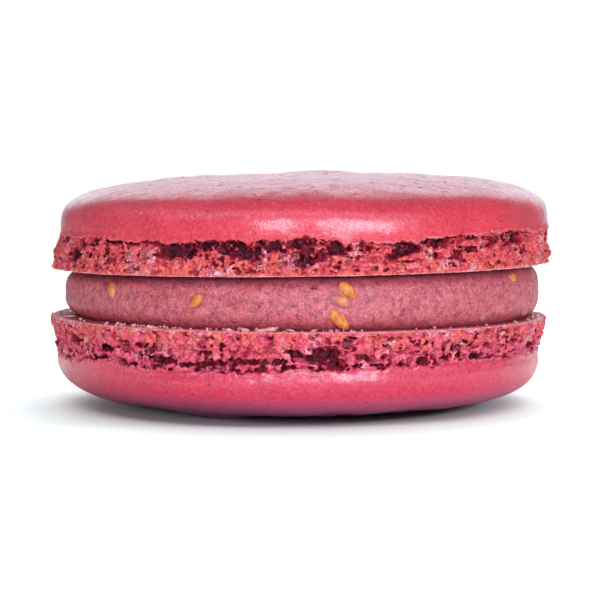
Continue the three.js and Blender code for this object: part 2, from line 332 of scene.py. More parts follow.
def surface_cells(inside):
    """The cells that have corners both inside and outside."""
    count = np.zeros(tuple(n - 1 for n in inside.shape), dtype=np.int8)
    for a, b, c in CELL_CORNERS:
        count += inside[a : a + count.shape[0], b : b + count.shape[1], c : c + count.shape[2]]
    return np.argwhere((count > 0) & (count < len(CELL_CORNERS)))


def surface_points(field, cells):
    """One point in each cell, in the middle of where the surface cuts the cell's edges."""
    total = np.zeros((len(cells), 3))
    hits = np.zeros(len(cells))
    for p, q in CELL_EDGES:
        at_p = field[tuple((cells + p).T)]
        at_q = field[tuple((cells + q).T)]
        crossed = (at_p < 0) != (at_q < 0)
        share = np.where(crossed, at_p / np.where(crossed, at_p - at_q, 1), 0)
        total += crossed[:, None] * (np.array(p) + share[:, None] * np.subtract(q, p))
        hits += crossed
    return cells + total / hits[:, None]


def faces_across(axis, inside, number):
    """A face for each grid edge along an axis that the surface cuts."""
    around = len(inside) - 1
    along, first, second = [np.eye(3, dtype=int)[(axis + k) % 3] for k in range(3)]
    far = inside[along[0] : around + along[0], along[1] :, along[2] :]
    near = inside[:around, : far.shape[1], : far.shape[2]]
    edges = np.argwhere(near != far)
    leaves = near[tuple(edges.T)]
    ring = []
    for offset in (0 * first, first, first + second, second):
        cell = edges - offset
        cell[:, 0] %= around
        ring.append(number[tuple(cell.T)])
    quads = np.stack(ring, axis=1)
    quads[~leaves] = quads[~leaves][:, ::-1]
    return quads


def skin_of(field):
    """Points, in grid steps, and faces of the skin round where the field is negative.

    The first axis closes on itself. On the others the field is positive at both ends."""
    field = np.concatenate([field, field[:1]], axis=0)
    inside = field < 0
    cells = surface_cells(inside)
    number = np.full([n - 1 for n in field.shape], -1, dtype=np.int64)
    number[tuple(cells.T)] = np.arange(len(cells))
    faces = [faces_across(axis, inside, number) for axis in range(3)]
    return surface_points(field, cells), np.concatenate(faces)


print("a grid cell has", len(CELL_CORNERS), "corners and", len(CELL_EDGES), "edges")


# %% [markdown]
# ## The foot's crumb
#
# While a macaron bakes, its dried skin lifts in one piece, and the wet batter below pushes
# out at the edge and sets in a ruffle of burst bubbles. So the crumb starts as a plain
# ring of batter with the lumps of the solid model, and then:
#
# 1. knobs of batter that set whole and grains of ground almond are added to the wall,
# 2. the hollows are cut out, each as one flat bubble with smaller ones beside it, and small
#    gaps open just under the skin's edge, where the foot tore away from it,
# 3. some grains are put back into the hollows, except into those that stay empty,
# 4. thousands of pores, up to nearly half a millimetre across, open through all of it,
# 5. the whole surface is crumbled by folded unevenness, which gives round grains with sharp
#    creases between them, and roughened, more so the deeper it lies.

# %% The grid round a foot
GRID_STEP = 0.09  # mm
RING_INSIDE = 20.3  # the ring is hollow in here, where the skin's core fills it
RING_OUTSIDE = 24.0
ring_columns = int(2 * math.pi * RIM_RADIUS / GRID_STEP)
ring_angles = np.arange(ring_columns) * 360 / ring_columns - 180
ring_radii = np.arange(RING_INSIDE - 2 * GRID_STEP, RING_OUTSIDE, GRID_STEP)
RIM_STRAIGHT = 0.6  # mm from the flat side over which the lumps grow to their full depth
RIM_LUMP = 0.45  # share of the lumps that the rim has
print("grid:", ring_columns, "columns,", len(ring_radii), "layers outwards")


def wall_radius(shell, z):
    """Radius of the foot's unbroken wall at a height: it narrows towards the dome."""
    climb = np.clip((z - RIM_ROUND) / (shell["foot_height"] - 2 * RIM_ROUND), 0, 1)
    corner = np.clip(RIM_EDGE - z, 0, RIM_EDGE)
    return RIM_RADIUS - WAIST_INSET * climb - corner


def on_circle(radius, degrees):
    """Across and along of a place on the edge, where 0 degrees is the front."""
    return radius * np.sin(np.radians(degrees)), -radius * np.cos(np.radians(degrees))


def wall_relief(shell, angle, z):
    """How far the lumps and crags of the solid model stand out of that wall."""
    x, y = on_circle(wall_radius(shell, z), angle)
    seed = shell["draw_from"]
    lump = unevenness(x / LUMP_SIZE, y / LUMP_SIZE, LUMP_SQUASH * z / LUMP_SIZE + seed)
    crag = unevenness(x / CRAG_SIZE, y / CRAG_SIZE, z / CRAG_SIZE + seed)
    rim = np.clip(z / RIM_STRAIGHT, RIM_LUMP, 1)  # the rim itself is straighter
    return rim * (LUMP_DEPTH * lump + CRAG_DEPTH * crag)


# %% Adding or cutting one blob
def blob(field, heights, angle, radius, level, half_sizes, cut):
    """Cuts one ellipsoid out of the field, or adds it. half_sizes run round, out and up."""
    reach = [h + 2 * GRID_STEP for h in half_sizes]
    middle = (angle + 180) / 360 * ring_columns
    span = int(reach[0] / GRID_STEP) + 1
    columns = np.arange(int(middle) - span, int(middle) + span + 1)
    j0, j1 = np.searchsorted(ring_radii, (radius - reach[1], radius + reach[1]))
    k0, k1 = np.searchsorted(heights, (level - reach[2], level + reach[2]))
    if j0 == j1 or k0 == k1:
        return
    along = (columns - middle) * GRID_STEP * radius / RIM_RADIUS / half_sizes[0]
    out = (ring_radii[j0:j1] - radius) / half_sizes[1]
    up = (heights[k0:k1] - level) / half_sizes[2]
    far = along[:, None, None] ** 2 + out[None, :, None] ** 2 + up[None, None, :] ** 2
    distance = (np.sqrt(far) - 1) * min(half_sizes)
    window = (
        columns[:, None, None] % ring_columns,
        np.arange(j0, j1)[None, :, None],
        np.arange(k0, k1)[None, None, :],
    )
    if cut:
        field[window] = np.maximum(field[window], -distance)
    else:
        field[window] = np.minimum(field[window], distance)


# %% Bubbles, grains, knobs, gaps and pores
HOLLOW_DEPTH = (0.6, 0.5)  # a part that all have, and a part for each mm of height
HOLLOW_SATELLITES = 9
GRAIN_SIZE = (0.09, 0.20)  # half of a grain's width
KNOB_SIZE = (0.2, 0.5)  # half of a knob's width
KNOB_SUNK = (0.55, 0.9)  # share of that half width by which its middle lies inside the wall
GAP_BELOW_LIP = (-0.05, 0.5)
GAP_WIDTH = (0.2, 0.75)  # half sizes
GAP_DEPTH = (0.4, 0.9)
GAP_TALL = (0.08, 0.22)
PORES_HIGH_UP = 0.75  # 1 spreads them evenly, and less moves them up
PORE_SIZE = (0.06, 0.22)  # half of a pore's width
PORE_FLATNESS = (0.5, 1.0)


def cut_hollow(field, heights, shell, hollow, rng):
    """One flat bubble, with smaller ones that make its edge ragged."""
    angle, level, width, tall = hollow
    wall = wall_radius(shell, level)
    deep = HOLLOW_DEPTH[0] + HOLLOW_DEPTH[1] * tall
    blob(field, heights, angle, wall, level, (0.5 * width, deep, 0.5 * tall), True)
    for _ in range(HOLLOW_SATELLITES):
        beside = angle + rng.uniform(-0.5, 0.5) * math.degrees(width / RIM_RADIUS)
        above = level + rng.uniform(-0.35, 0.35) * tall
        size = rng.uniform(0.25, 0.5) * tall
        half_sizes = (size * rng.uniform(1, 2), rng.uniform(0.6, 1.1) * deep, size)
        blob(field, heights, beside, wall, above, half_sizes, True)


def add_grain(field, heights, shell, top, deepest, rng):
    """One grain of almond, sunk by up to its own size or, in a hollow, as deep as given."""
    angle, level = rng.uniform(-180, 180), rng.uniform(0.1, top)
    size = rng.uniform(*GRAIN_SIZE)
    sunk = rng.uniform(-0.1, 0.9) * size + rng.uniform(0.25, 1) * deepest
    half_sizes = (size * rng.uniform(0.8, 1.4), size, size * rng.uniform(0.7, 1.1))
    blob(field, heights, angle, wall_radius(shell, level) - sunk, level, half_sizes, False)


def add_knob(field, heights, shell, top, rng):
    """A lump of batter that set before it could burst, mostly sunk in the crumb."""
    angle, level = rng.uniform(-180, 180), rng.uniform(0.3, top - 0.3)
    size = rng.uniform(*KNOB_SIZE)
    sunk = rng.uniform(*KNOB_SUNK) * size
    half_sizes = (size * rng.uniform(0.9, 1.5), size, size * rng.uniform(0.7, 1.1))
    blob(field, heights, angle, wall_radius(shell, level) - sunk, level, half_sizes, False)


def cut_gap(field, heights, shell, rng):
    """A gap just under the skin's edge, where the foot tore away from it."""
    angle = rng.uniform(-180, 180)
    level = shell["foot_height"] - rng.uniform(*GAP_BELOW_LIP)
    half_sizes = (rng.uniform(*GAP_WIDTH), rng.uniform(*GAP_DEPTH), rng.uniform(*GAP_TALL))
    blob(field, heights, angle, wall_radius(shell, level), level, half_sizes, True)


def cut_pore(field, heights, shell, top, rng):
    """One small bubble that opens at the wall, more often high up than near the rim."""
    angle, level = rng.uniform(-180, 180), 0.2 + (top - 0.2) * rng.random() ** PORES_HIGH_UP
    size = PORE_SIZE[0] + (PORE_SIZE[1] - PORE_SIZE[0]) * rng.random() ** 3
    sunk = rng.uniform(-0.3, 0.8) * size
    half_sizes = (
        size * rng.uniform(1, 2.2),
        size * rng.uniform(1.2, 2.5),
        size * rng.uniform(*PORE_FLATNESS),
    )
    blob(field, heights, angle, wall_radius(shell, level) - sunk, level, half_sizes, True)


# %% The field of a foot
KNOB_COUNT = 1100
GRAIN_COUNT = 9000
GAP_COUNT = 150
HOLLOW_GRAIN_COUNT = 1500
HOLLOW_GRAIN_DEPTH = 1.2  # mm inside the wall where the deepest of them lie
PORE_COUNT = 4400
CRUMBLE = ((0.75, 0.20), (0.35, 0.11))  # spacing of the folds, and depth of their creases
FOLD_MIDDLE = 0.35  # the folds' mean, which neither adds to the crumb nor takes from it
ROUGHNESS = ((0.32, 0.08), (0.19, 0.06))  # the same for plain unevenness
ROUGHER_INSIDE = 1.6  # how much more of it there is at each mm inside the wall
SHOULDER_FALL = 0.5  # how steeply the crumb's top falls away under the skin's edge
SHOULDER_FROM = 21.8  # radius outside which it falls
CRUMB_ABOVE_LIP = 0.2  # how far up the crumb goes behind the skin's edge


def crumbled(shell, field, heights, wall):
    """A field with its surface folded and roughened, and ended where the crumb ends."""
    x, y = on_circle(ring_radii[None, :, None], ring_angles[:, None, None])
    z = heights[None, None, :]
    for size, depth in CRUMBLE:
        fold = np.abs(unevenness(x / size, y / size, z / size + shell["draw_from"]))
        field += depth * (FOLD_MIDDLE - fold)
    inside = np.clip(wall[:, None, :] - ring_radii[None, :, None], 0, 1)
    for size, depth in ROUGHNESS:
        field += depth * (1 + ROUGHER_INSIDE * inside) * unevenness(x / size, y / size, z / size)
    top = shell["foot_height"] + CRUMB_ABOVE_LIP
    falling_top = top - SHOULDER_FALL * np.clip(ring_radii - SHOULDER_FROM, 0, None)
    field = np.maximum(field, -z)
    field = np.maximum(field, z - falling_top[None, :, None])
    return np.maximum(field, RING_INSIDE - ring_radii[None, :, None])


def crumb_field(shell):
    """The field of one foot, with the height of each layer."""
    top = shell["foot_height"] + CRUMB_ABOVE_LIP
    heights = np.arange(-2.5 * GRID_STEP, top + 3 * GRID_STEP, GRID_STEP)
    relief = wall_relief(shell, ring_angles[:, None], heights[None, :])
    wall = wall_radius(shell, heights)[None, :] + relief
    field = ring_radii[None, :, None] - wall[:, None, :]

    rng = np.random.default_rng(shell["draw_from"])
    for _ in range(KNOB_COUNT):
        add_knob(field, heights, shell, top, rng)
    for _ in range(GRAIN_COUNT):
        add_grain(field, heights, shell, top, 0, rng)
    for hollow in hollows_of(shell):
        cut_hollow(field, heights, shell, hollow, rng)
    for _ in range(GAP_COUNT):
        cut_gap(field, heights, shell, rng)
    for _ in range(HOLLOW_GRAIN_COUNT):
        add_grain(field, heights, shell, top, HOLLOW_GRAIN_DEPTH, rng)
    for hollow in shell["empty"]:
        cut_hollow(field, heights, shell, hollow, rng)
    for _ in range(PORE_COUNT):
        cut_pore(field, heights, shell, top, rng)
    return crumbled(shell, field, heights, wall), heights


drawn_shapes = KNOB_COUNT + GRAIN_COUNT + GAP_COUNT + HOLLOW_GRAIN_COUNT + PORE_COUNT
print("each foot gets", drawn_shapes, "knobs, grains, gaps and pores")


# %% The two feet
FOOT_TRIANGLES = 195000  # the flat hidden sides need few, so thinning takes them there


def thin_out(piece, triangles):
    """Removes the least needed corners until the piece has so many triangles."""
    now = sum(len(face.vertices) - 2 for face in piece.data.polygons)
    if now > triangles:
        modifier = piece.modifiers.new("thin_out", "DECIMATE")
        modifier.ratio = triangles / now
        bake(piece)


def bake(piece):
    """Applies a piece's modifiers to its mesh, and mends faces that thinning folded flat."""
    scene_state = bpy.context.evaluated_depsgraph_get()
    mesh = bpy.data.meshes.new_from_object(piece.evaluated_get(scene_state))
    mesh.validate()
    piece.modifiers.clear()
    piece.data = mesh


def make_crumb(shell):
    """One foot. Its marks tell the material how deep each point lies, and how high."""
    field, heights = crumb_field(shell)
    steps, faces = skin_of(field)
    angle = steps[:, 0] * 360 / ring_columns - 180
    radius = ring_radii[0] + steps[:, 1] * GRID_STEP
    level = heights[0] + steps[:, 2] * GRID_STEP
    depth = wall_radius(shell, level) + wall_relief(shell, angle, level) - radius
    climb = np.clip(level / shell["foot_height"], 0, 1.1)
    radius = radius + climb * swellings(shell["foot_bulges"], angle)
    x, y = on_circle(radius, angle)
    lifted = level + climb * lip_rise(shell, angle, x)
    points = place(shell, np.stack([x, y, lifted], axis=1))
    piece = make_piece(shell["name"] + "_foot", points, faces, flip=shell["turned_over"])
    mark(piece, "depth", np.minimum(depth, level))
    mark(piece, "level", level)
    mark(piece, "inwards", depth)
    thin_out(piece, FOOT_TRIANGLES)
    print(piece.name, "has", len(piece.data.polygons), "faces, thinned from", len(faces))
    return piece


def lip_rise(shell, angle, x):
    """How much higher the lip is than foot_height at a place on the edge."""
    return shell["lip_slope"] * x + swellings(shell["lip_waves"], angle)


feet = [make_crumb(shell) for shell in SHELLS]

# %% [markdown]
# ## The dome's skin
#
# The skin is the batter's surface, which dried for half an hour before baking. It is smooth
# and satin, and its lower edge is torn where the foot pushed it up. A lathe is right for
# it: rows of points from the torn edge up to the middle, turned round. The rows crowd
# together at the edge, where the tear needs them. The top gets shallow wrinkles, which
# show because the eye skims over it, and a low peak where the piping nozzle was lifted. The
# lower dome stands on the table, so nothing of it goes below the table's level.

# %% The dome's outline
SKIN_COLUMNS = 1200
SKIN_ROWS = 64
TEETH = ((1.6, 0.08), (0.7, 0.13), (0.28, 0.13))  # spacing and height of the torn edge
TEETH_FADE = 0.5  # mm above the edge where the tear no longer shows
FRILL = ((0.8, 0.10), (0.3, 0.06))  # spacing and depth of the edge's flare
WRINKLES = ((3.2, 0.12), (1.3, 0.08), (0.55, 0.025))  # the same for the top's wrinkles
WRINKLED_FROM = 3.3  # mm above the lip where they start
WRINKLES_GROW = 0.6  # mm above that over which they reach their full depth
SIDE_WAVES = ((5.0, 0.10), (2.0, 0.04), (0.9, 0.012))  # the same for the dome's side
WAVES_FROM_MIDDLE = 5  # mm from the middle over which the side's waves grow
TUCK_HEIGHT = 3  # mm above the lip over which a tuck grows
TORN_WANDER = 0.1  # mm by which the pale colour of the torn edge wanders up and down
TUCKED_FROM = 15.3  # radius inside which the dome isn't tucked in
ROWS_CROWD = 1.35  # more than 1 crowds the rows together at the edge
EDGE_FOLLOWS = 0.45  # share of the tear that the dome's first row above the lip follows


def dome_level(shell, share):
    """Height of the dome at a share of its radius."""
    swell = np.clip(1 - share ** shell["dome_flatness"], 0, 1) ** (1 / shell["dome_shoulder"])
    rise = shell["dome_height"] - LIP_ROUND
    return shell["foot_height"] + LIP_ROUND + rise * swell


def skin_outline(shell):
    """[radius, height, how much it follows the tear] from the core's foot to the middle."""
    edge = shell["dome_radius"]
    foot = shell["foot_height"]
    rows = [
        (0, 0.03, 0),
        (RING_INSIDE + 0.25, 0.03, 0),
        (RING_INSIDE + 0.3, foot - 0.3, 0),
        (edge - 0.75, foot + 0.12, 0.3),
        (edge - 0.36, foot + 0.0, 1),
        (edge - 0.15, foot - 0.07, 1),
        (edge - 0.05, foot - 0.05, 1),
        (edge + 0.01, foot + 0.02, 0.97),
        (edge + 0.03, foot + 0.12, 0.85),
        (edge + 0.02, foot + 0.22, 0.65),
    ]
    for i in range(SKIN_ROWS + 1):
        share = math.cos(math.pi / 2 * (i / SKIN_ROWS) ** ROWS_CROWD) ** (2 / shell["dome_flatness"])
        level = float(dome_level(shell, np.array(share)))
        above = (level - foot - LIP_ROUND) / TEETH_FADE
        rows.append((edge * share, level, EDGE_FOLLOWS * max(0, 1 - above) ** 2))
    return np.array(rows)


def tear_of(shell, x, y, level):
    """How far the torn edge hangs below its mean height, or above it."""
    seed = shell["draw_from"]
    lump = unevenness(x / LUMP_SIZE, y / LUMP_SIZE, LUMP_SQUASH * level / LUMP_SIZE + seed)
    tear = LIP_WANDER * lump
    for size, height in TEETH:
        tear = tear + height * (2.6 * np.abs(unevenness(x / size, y / size, seed + size)) - 1)
    return tear


def hill(distance, spread):
    """1 at a middle, and falling away softly over the spread."""
    return np.exp(-((distance / spread) ** 2))


def skin_radius(shell, angle, radius, above, torn):
    """The outline's radius with the flared edge, the roll over the lip, waves and dents."""
    level = above + shell["foot_height"]
    flare = sum(d * unevenness(RIM_RADIUS * angle / s, level / s, 0.5) for s, d in FRILL)
    out, roll_above, spread = shell["lip_roll"]
    radius = radius + torn * flare + out * hill(above - roll_above, spread)
    side = (radius * np.sin(angle), -radius * np.cos(angle), level + shell["draw_from"])
    wavy = sum(d * unevenness(*(c / s for c in side)) for s, d in SIDE_WAVES)
    wavy = wavy * np.clip(above / LIP_ROUND, 0, 1) * np.clip(radius / WAVES_FROM_MIDDLE, 0, 1)
    radius = radius + wavy
    at, dent_above, deep, spread = shell["dent"]
    away = np.hypot(RIM_RADIUS * (angle - math.radians(at)), above - dent_above)
    radius = radius - deep * hill(away, spread)
    tuck = swellings(shell["dome_tucks"], np.degrees(angle)) * np.clip(above / TUCK_HEIGHT, 0, 1)
    return np.maximum(radius - tuck * (radius > TUCKED_FROM), 0)


def skin_rise(shell, angle, x, y, above, torn, outside, wave):
    """How far the tear, waves, wrinkles, lip and peak lift the skin above its outline."""
    wrinkle = sum(d * unevenness(x / s, y / s, 0.5) for s, d in WRINKLES)
    on_dome = np.clip(above / LIP_ROUND, 0, 1)
    on_top = np.clip((above - WRINKLED_FROM) / WRINKLES_GROW, 0, 1)
    below_top = np.clip(1 - above / shell["dome_height"], 0, 1)
    tear = tear_of(shell, x, y, above + shell["foot_height"])
    rise = torn * (tear + swellings(shell["hanging"], np.degrees(angle)))
    rise = rise + on_dome * WAVE_DEPTH * wave + on_top * wrinkle
    rise = rise + outside * below_top * lip_rise(shell, np.degrees(angle), x)
    at_x, at_y, height, spread = shell["peak"]
    return rise + on_dome * height * hill(np.hypot(x - at_x, y - at_y), spread)


print("a dome has", len(skin_outline(UPPER)), "rows from the torn edge to the middle")


# %% The two domes
def make_skin(shell):
    """One dome. Its mark tells the material how high above the lip each point lies."""
    outline = skin_outline(shell)
    angle = np.radians(np.arange(SKIN_COLUMNS) * 360 / SKIN_COLUMNS - 180)[:, None]
    radius, level, torn = [column[None, :] + 0 * angle for column in outline.T]
    above = level - shell["foot_height"]
    radius = skin_radius(shell, angle, radius, above, torn)
    x, y = radius * np.sin(angle), -radius * np.cos(angle)
    outside = (radius > RING_INSIDE + 0.3) | (above > 0)
    wave = unevenness(x / WAVE_SIZE, y / WAVE_SIZE, shell["draw_from"] + 0.5)
    level = level + skin_rise(shell, angle, x, y, above, torn, outside, wave)
    if shell["turned_over"]:
        seat = shell["level"] / math.cos(shell["tilt"]) - x * math.tan(shell["tilt"])
        level = np.minimum(level, seat)
    x = x + outside * shell["dome_shift"]

    points = place(shell, np.stack([x.ravel(), y.ravel(), level.ravel()], axis=1))
    faces = lathe_faces(SKIN_COLUMNS, len(outline))
    piece = make_piece(shell["name"] + "_dome", points, faces, flip=shell["turned_over"])
    mark(piece, "above_lip", (above + torn * TORN_WANDER * wave).ravel())
    weld(piece)
    print(piece.name, "has", len(piece.data.polygons), "faces")
    return piece


def lathe_faces(columns, rows):
    """Faces between the points of a lathe, whose columns follow each other."""
    i, j = np.meshgrid(np.arange(columns), np.arange(rows - 1), indexing="ij")
    here = i * rows + j
    there = (i + 1) % columns * rows + j
    return np.stack([here, there, there + 1, here + 1], axis=-1).reshape(-1, 4)


def weld(piece):
    """Merges points that lie in one place, such as those of a lathe's middle."""
    modifier = piece.modifiers.new("weld", "WELD")
    modifier.merge_threshold = 0.0005 * MM
    bake(piece)


domes = [make_skin(shell) for shell in SHELLS]

# %% [markdown]
# ## The ganache
#
# The ganache was piped as a thick disc and pressed between the shells, so its side bulges,
# more at the middle than where it sticks to the shells. Its skin is dull and finely
# grained. A lathe gives the bulge, and four sizes of unevenness give the piped swell, the
# soft dents and the grain.

# %% The ganache disc
FILLING_RADIUS = 22.05
FILLING_BULGE = 1.2
FILLING_SHIFT = 0.2
BELLY_FLATNESS = 3.4
FILLING_COLUMNS = 1200
FILLING_ROWS = 40
FILLING_DENTS = ((5, 0.10), (1.5, 0.08), (0.6, 0.05), (0.3, 0.035))
LESS_SHADE_BELOW = 0.6  # mm by which the painted shade at the lower shell is narrower
PRESSED_IN = 0.04  # mm that the ganache reaches into each shell


def side_level(shell, x):
    """Height of a shell's flat side at a place across."""
    return shell["level"] - x * math.tan(shell["tilt"])


def belly_radius(share):
    """Radius of the ganache at a share of its thickness, from the bottom up."""
    return FILLING_RADIUS - FILLING_BULGE * np.abs(2 * share - 1) ** BELLY_FLATNESS


def side_radius(level):
    """Radius of the ganache's side at a height above the table."""
    low, high = side_level(LOWER, 0), side_level(UPPER, 0)
    return belly_radius((level - low) / (high - low))


def make_filling():
    """The disc. Its mark tells the material how near each point is to a shell."""
    share = np.concatenate([[0], np.linspace(0, 1, FILLING_ROWS + 1), [1]])
    belly = belly_radius(share)
    belly[[0, -1]] = 0
    angle = np.radians(np.arange(FILLING_COLUMNS) * 360 / FILLING_COLUMNS - 180)[:, None]
    radius = belly[None, :] + 0 * angle
    x, y = radius * np.sin(angle), -radius * np.cos(angle)
    low, high = side_level(LOWER, x) - PRESSED_IN, side_level(UPPER, x) + PRESSED_IN
    z = low + (high - low) * share[None, :]
    swell = sum(d * unevenness(x / s, y / s, z / s) for s, d in FILLING_DENTS)
    x = x * (1 + swell / FILLING_RADIUS) + FILLING_SHIFT
    y = y * (1 + swell / FILLING_RADIUS)
    points = np.stack([x.ravel(), y.ravel(), z.ravel()], axis=1)
    piece = make_piece("raspberry_ganache", points, lathe_faces(FILLING_COLUMNS, len(share)))
    mark(piece, "to_shell", np.minimum(z - low + LESS_SHADE_BELOW, high - z).ravel())
    weld(piece)
    print(piece.name, "has", len(piece.data.polygons), "faces")
    return piece


ganache = make_filling()

# %% [markdown]
# ## Raspberry seeds
#
# A raspberry seed is a pointed bean about 2 mm long, pitted like a peach stone. Each one is
# a small ball of points, made slimmer at one end and pitted by unevenness. Some are smeared
# with ganache, which the last number in each row says: the share of the seed that is
# covered, and more of it where the seed sinks into the ganache. The material reads it.
#
# Seeds, crumbs, hairs and flecks are all many small shapes of one kind, so each kind is one
# mesh, joined from a list of shapes.

# %% The seeds
SEED_LENGTH = 2.1
SEED_WIDTH = 1.1
SEED_FLATNESS = 0.83
SEED_TAPER = 0.15
SEED_PITS = 0.16  # depth, as a share of the seed's width
SEED_PITS_ACROSS = 3.1  # places for a pit across half a seed
SEED_COLUMNS, SEED_ROWS = 28, 22
SEED_COUNT = 19
SEED_ARC = (95, 262)  # degrees between which the drawn ones lie, round the back
SEED_LEVEL = (9.4, 11.6)
SEED_LEAN = (0, 180)
SEED_LENGTHS = (1.4, 2.1)
SEED_SUNK = (0.2, 0.4)
SEED_COVER = (0.1, 0.5)
SEED_DRAWS_FROM = 700
SEED_EDGE = 0.2  # mm above the ganache up to which it also smears a seed's edge
SEED_EDGE_COVER = 0.42
FRONT_SEEDS = [  # degrees, height, lean to the left, length, how deep, share covered
    (-48.9, 11.17, 193, 1.5, 0.30, 0.2),
    (-24.2, 10.58, 135, 1.6, 0.29, 0.22),
    (8.4, 10.72, 72, 2.1, 0.34, 0.44),
    (10, 11.58, 226, 2.0, 0.30, 0.05),
    (8.1, 9.15, 222, 2.3, 0.26, 0.05),
    (46.6, 9.0, -8, 1.1, 0.40, 0.6),
    (59.2, 12.1, 85, 1.5, 0.34, 0.2),
    (67.8, 9.0, -60, 1.3, 0.45, 0.6),
    (74, 10.9, -5, 1.3, 0.40, 0.4),
]


def seed_list():
    """The seeds given for the front, and drawn ones round the rest of the edge."""
    seeds = list(FRONT_SEEDS)
    drawn = SEED_COUNT - len(seeds)
    pitch = (SEED_ARC[1] - SEED_ARC[0]) / drawn
    for k in range(drawn):
        start = SEED_DRAWS_FROM + 10 * k
        angle = SEED_ARC[0] + pitch * (k + draw(start))
        limits = (SEED_LEVEL, SEED_LEAN, SEED_LENGTHS, SEED_SUNK, SEED_COVER)
        seeds.append((angle, *(draw_between(l, start + 1 + n) for n, l in enumerate(limits))))
    return seeds


def ball(columns, rows):
    """Points of a unit ball in columns from one pole to the other, and its faces."""
    around = np.arange(columns)[:, None] * 2 * math.pi / columns
    up = np.linspace(-math.pi / 2, math.pi / 2, rows + 1)[None, :]
    x, y = np.cos(around) * np.cos(up), np.sin(around) * np.cos(up)
    z = np.sin(up) + 0 * around
    return np.stack([x.ravel(), y.ravel(), z.ravel()], axis=1), lathe_faces(columns, rows + 1)


def turned_about_z(points, degrees):
    """Points turned round the macaron's middle."""
    a = math.radians(degrees)
    x, y, z = points.T
    return np.stack([x * math.cos(a) - y * math.sin(a), x * math.sin(a) + y * math.cos(a), z], 1)


def one_piece(name, parts, **marks):
    """One mesh of many small shapes, each with its points and faces."""
    starts = np.cumsum([0] + [len(points) for points, _ in parts[:-1]])
    points = np.concatenate([points for points, _ in parts])
    faces = np.concatenate([faces + start for (_, faces), start in zip(parts, starts)])
    piece = make_piece(name, points, faces)
    for mark_name, values in marks.items():
        mark(piece, mark_name, np.concatenate(values))
    weld(piece)
    print(name, "is", len(parts), "shapes with", len(piece.data.polygons), "faces")
    return piece


def on_ganache(shape, angle):
    """A shape that lies against the ganache's front, moved round its side."""
    return turned_about_z(shape, angle) + (FILLING_SHIFT, 0, 0)


def seed_shape(unit, k, lean, length):
    """Points of one seed lying against a wall that faces the front."""
    width = SEED_WIDTH * math.sqrt(length / SEED_LENGTH)
    pits = 1 - SEED_PITS * np.abs(unevenness(*(unit.T * SEED_PITS_ACROSS + 7 * k)))
    slim = (1 - SEED_TAPER * unit[:, 2]) * pits * width / 2
    across, along = unit[:, 0] * slim, unit[:, 2] * length / 2
    cos, sin = math.cos(math.radians(lean)), math.sin(math.radians(lean))
    out = unit[:, 1] * slim * SEED_FLATNESS
    return np.stack([across * cos - along * sin, out, across * sin + along * cos], axis=1), width


def make_seeds():
    """All the seeds. Their mark tells the material how much of each point is smeared."""
    unit, unit_faces = ball(SEED_COLUMNS, SEED_ROWS)
    parts, cover = [], []
    for k, (angle, level, lean, length, sunk, covered) in enumerate(seed_list()):
        shape, width = seed_shape(unit, k, lean, length)
        shape += (0, -(side_radius(level) + width / 4 - sunk), level)
        low_lying = np.clip(1 + (shape[:, 1] + side_radius(level)) / SEED_EDGE, 0, 1)
        parts.append((on_ganache(shape, angle), unit_faces))
        cover.append(covered + SEED_EDGE_COVER * low_lying)
    return one_piece("raspberry_seeds", parts, cover=cover)


seeds = make_seeds()

# %% [markdown]
# ## Loose crumbs and flakes
#
# Handling breaks crumbs off the feet, and they lie on the ledge of the lower shell, just
# outside the ganache. A few are flat flakes. Each is a small ball, dented by unevenness and
# flattened, and all of them are joined into one mesh.

# %% Crumbs on the ledge
CRUMB_COUNT = 150
CRUMB_FRONT_SHARE = 0.5  # share of the crumbs that lie at the front, left of the middle
CRUMB_FRONT = (-48, 14)  # degrees
CRUMB_RADII = (21.75, 22.95)
CRUMB_SIZE = (0.05, 0.17)  # half of a crumb's width
CRUMB_SEED = 31  # starts the crumbs' random draws
CRUMB_DENTS = 0.5  # depth, as a share of the crumb's size
FLAKE_DENTS = 0.6
FLAKES = [  # degrees, distance out, half length, half width, half thickness, lean
    (-6.6, 22.75, 1.1, 0.35, 0.17, 6),
    (-11.5, 22.6, 0.45, 0.3, 0.14, -14),
    (-38.5, 22.7, 0.25, 0.22, 0.14, 10),
    (-34, 22.85, 0.3, 0.25, 0.13, 0),
    (-1.5, 22.75, 0.35, 0.25, 0.12, -8),
    (3.4, 22.7, 0.3, 0.2, 0.13, 12),
]


def dented(unit, half_sizes, seed, depth):
    """A ball flattened to three half sizes and dented."""
    dent = 1 + depth * unevenness(*(unit.T * 1.7 + seed))
    return unit * dent[:, None] * half_sizes


def on_ledge(shape, angle):
    """A shape standing at the front of the lower shell's flat side, moved round it."""
    moved = turned_about_z(shape, angle) + (LOWER["shift"], 0, 0)
    moved[:, 2] += side_level(LOWER, moved[:, 0])
    return moved


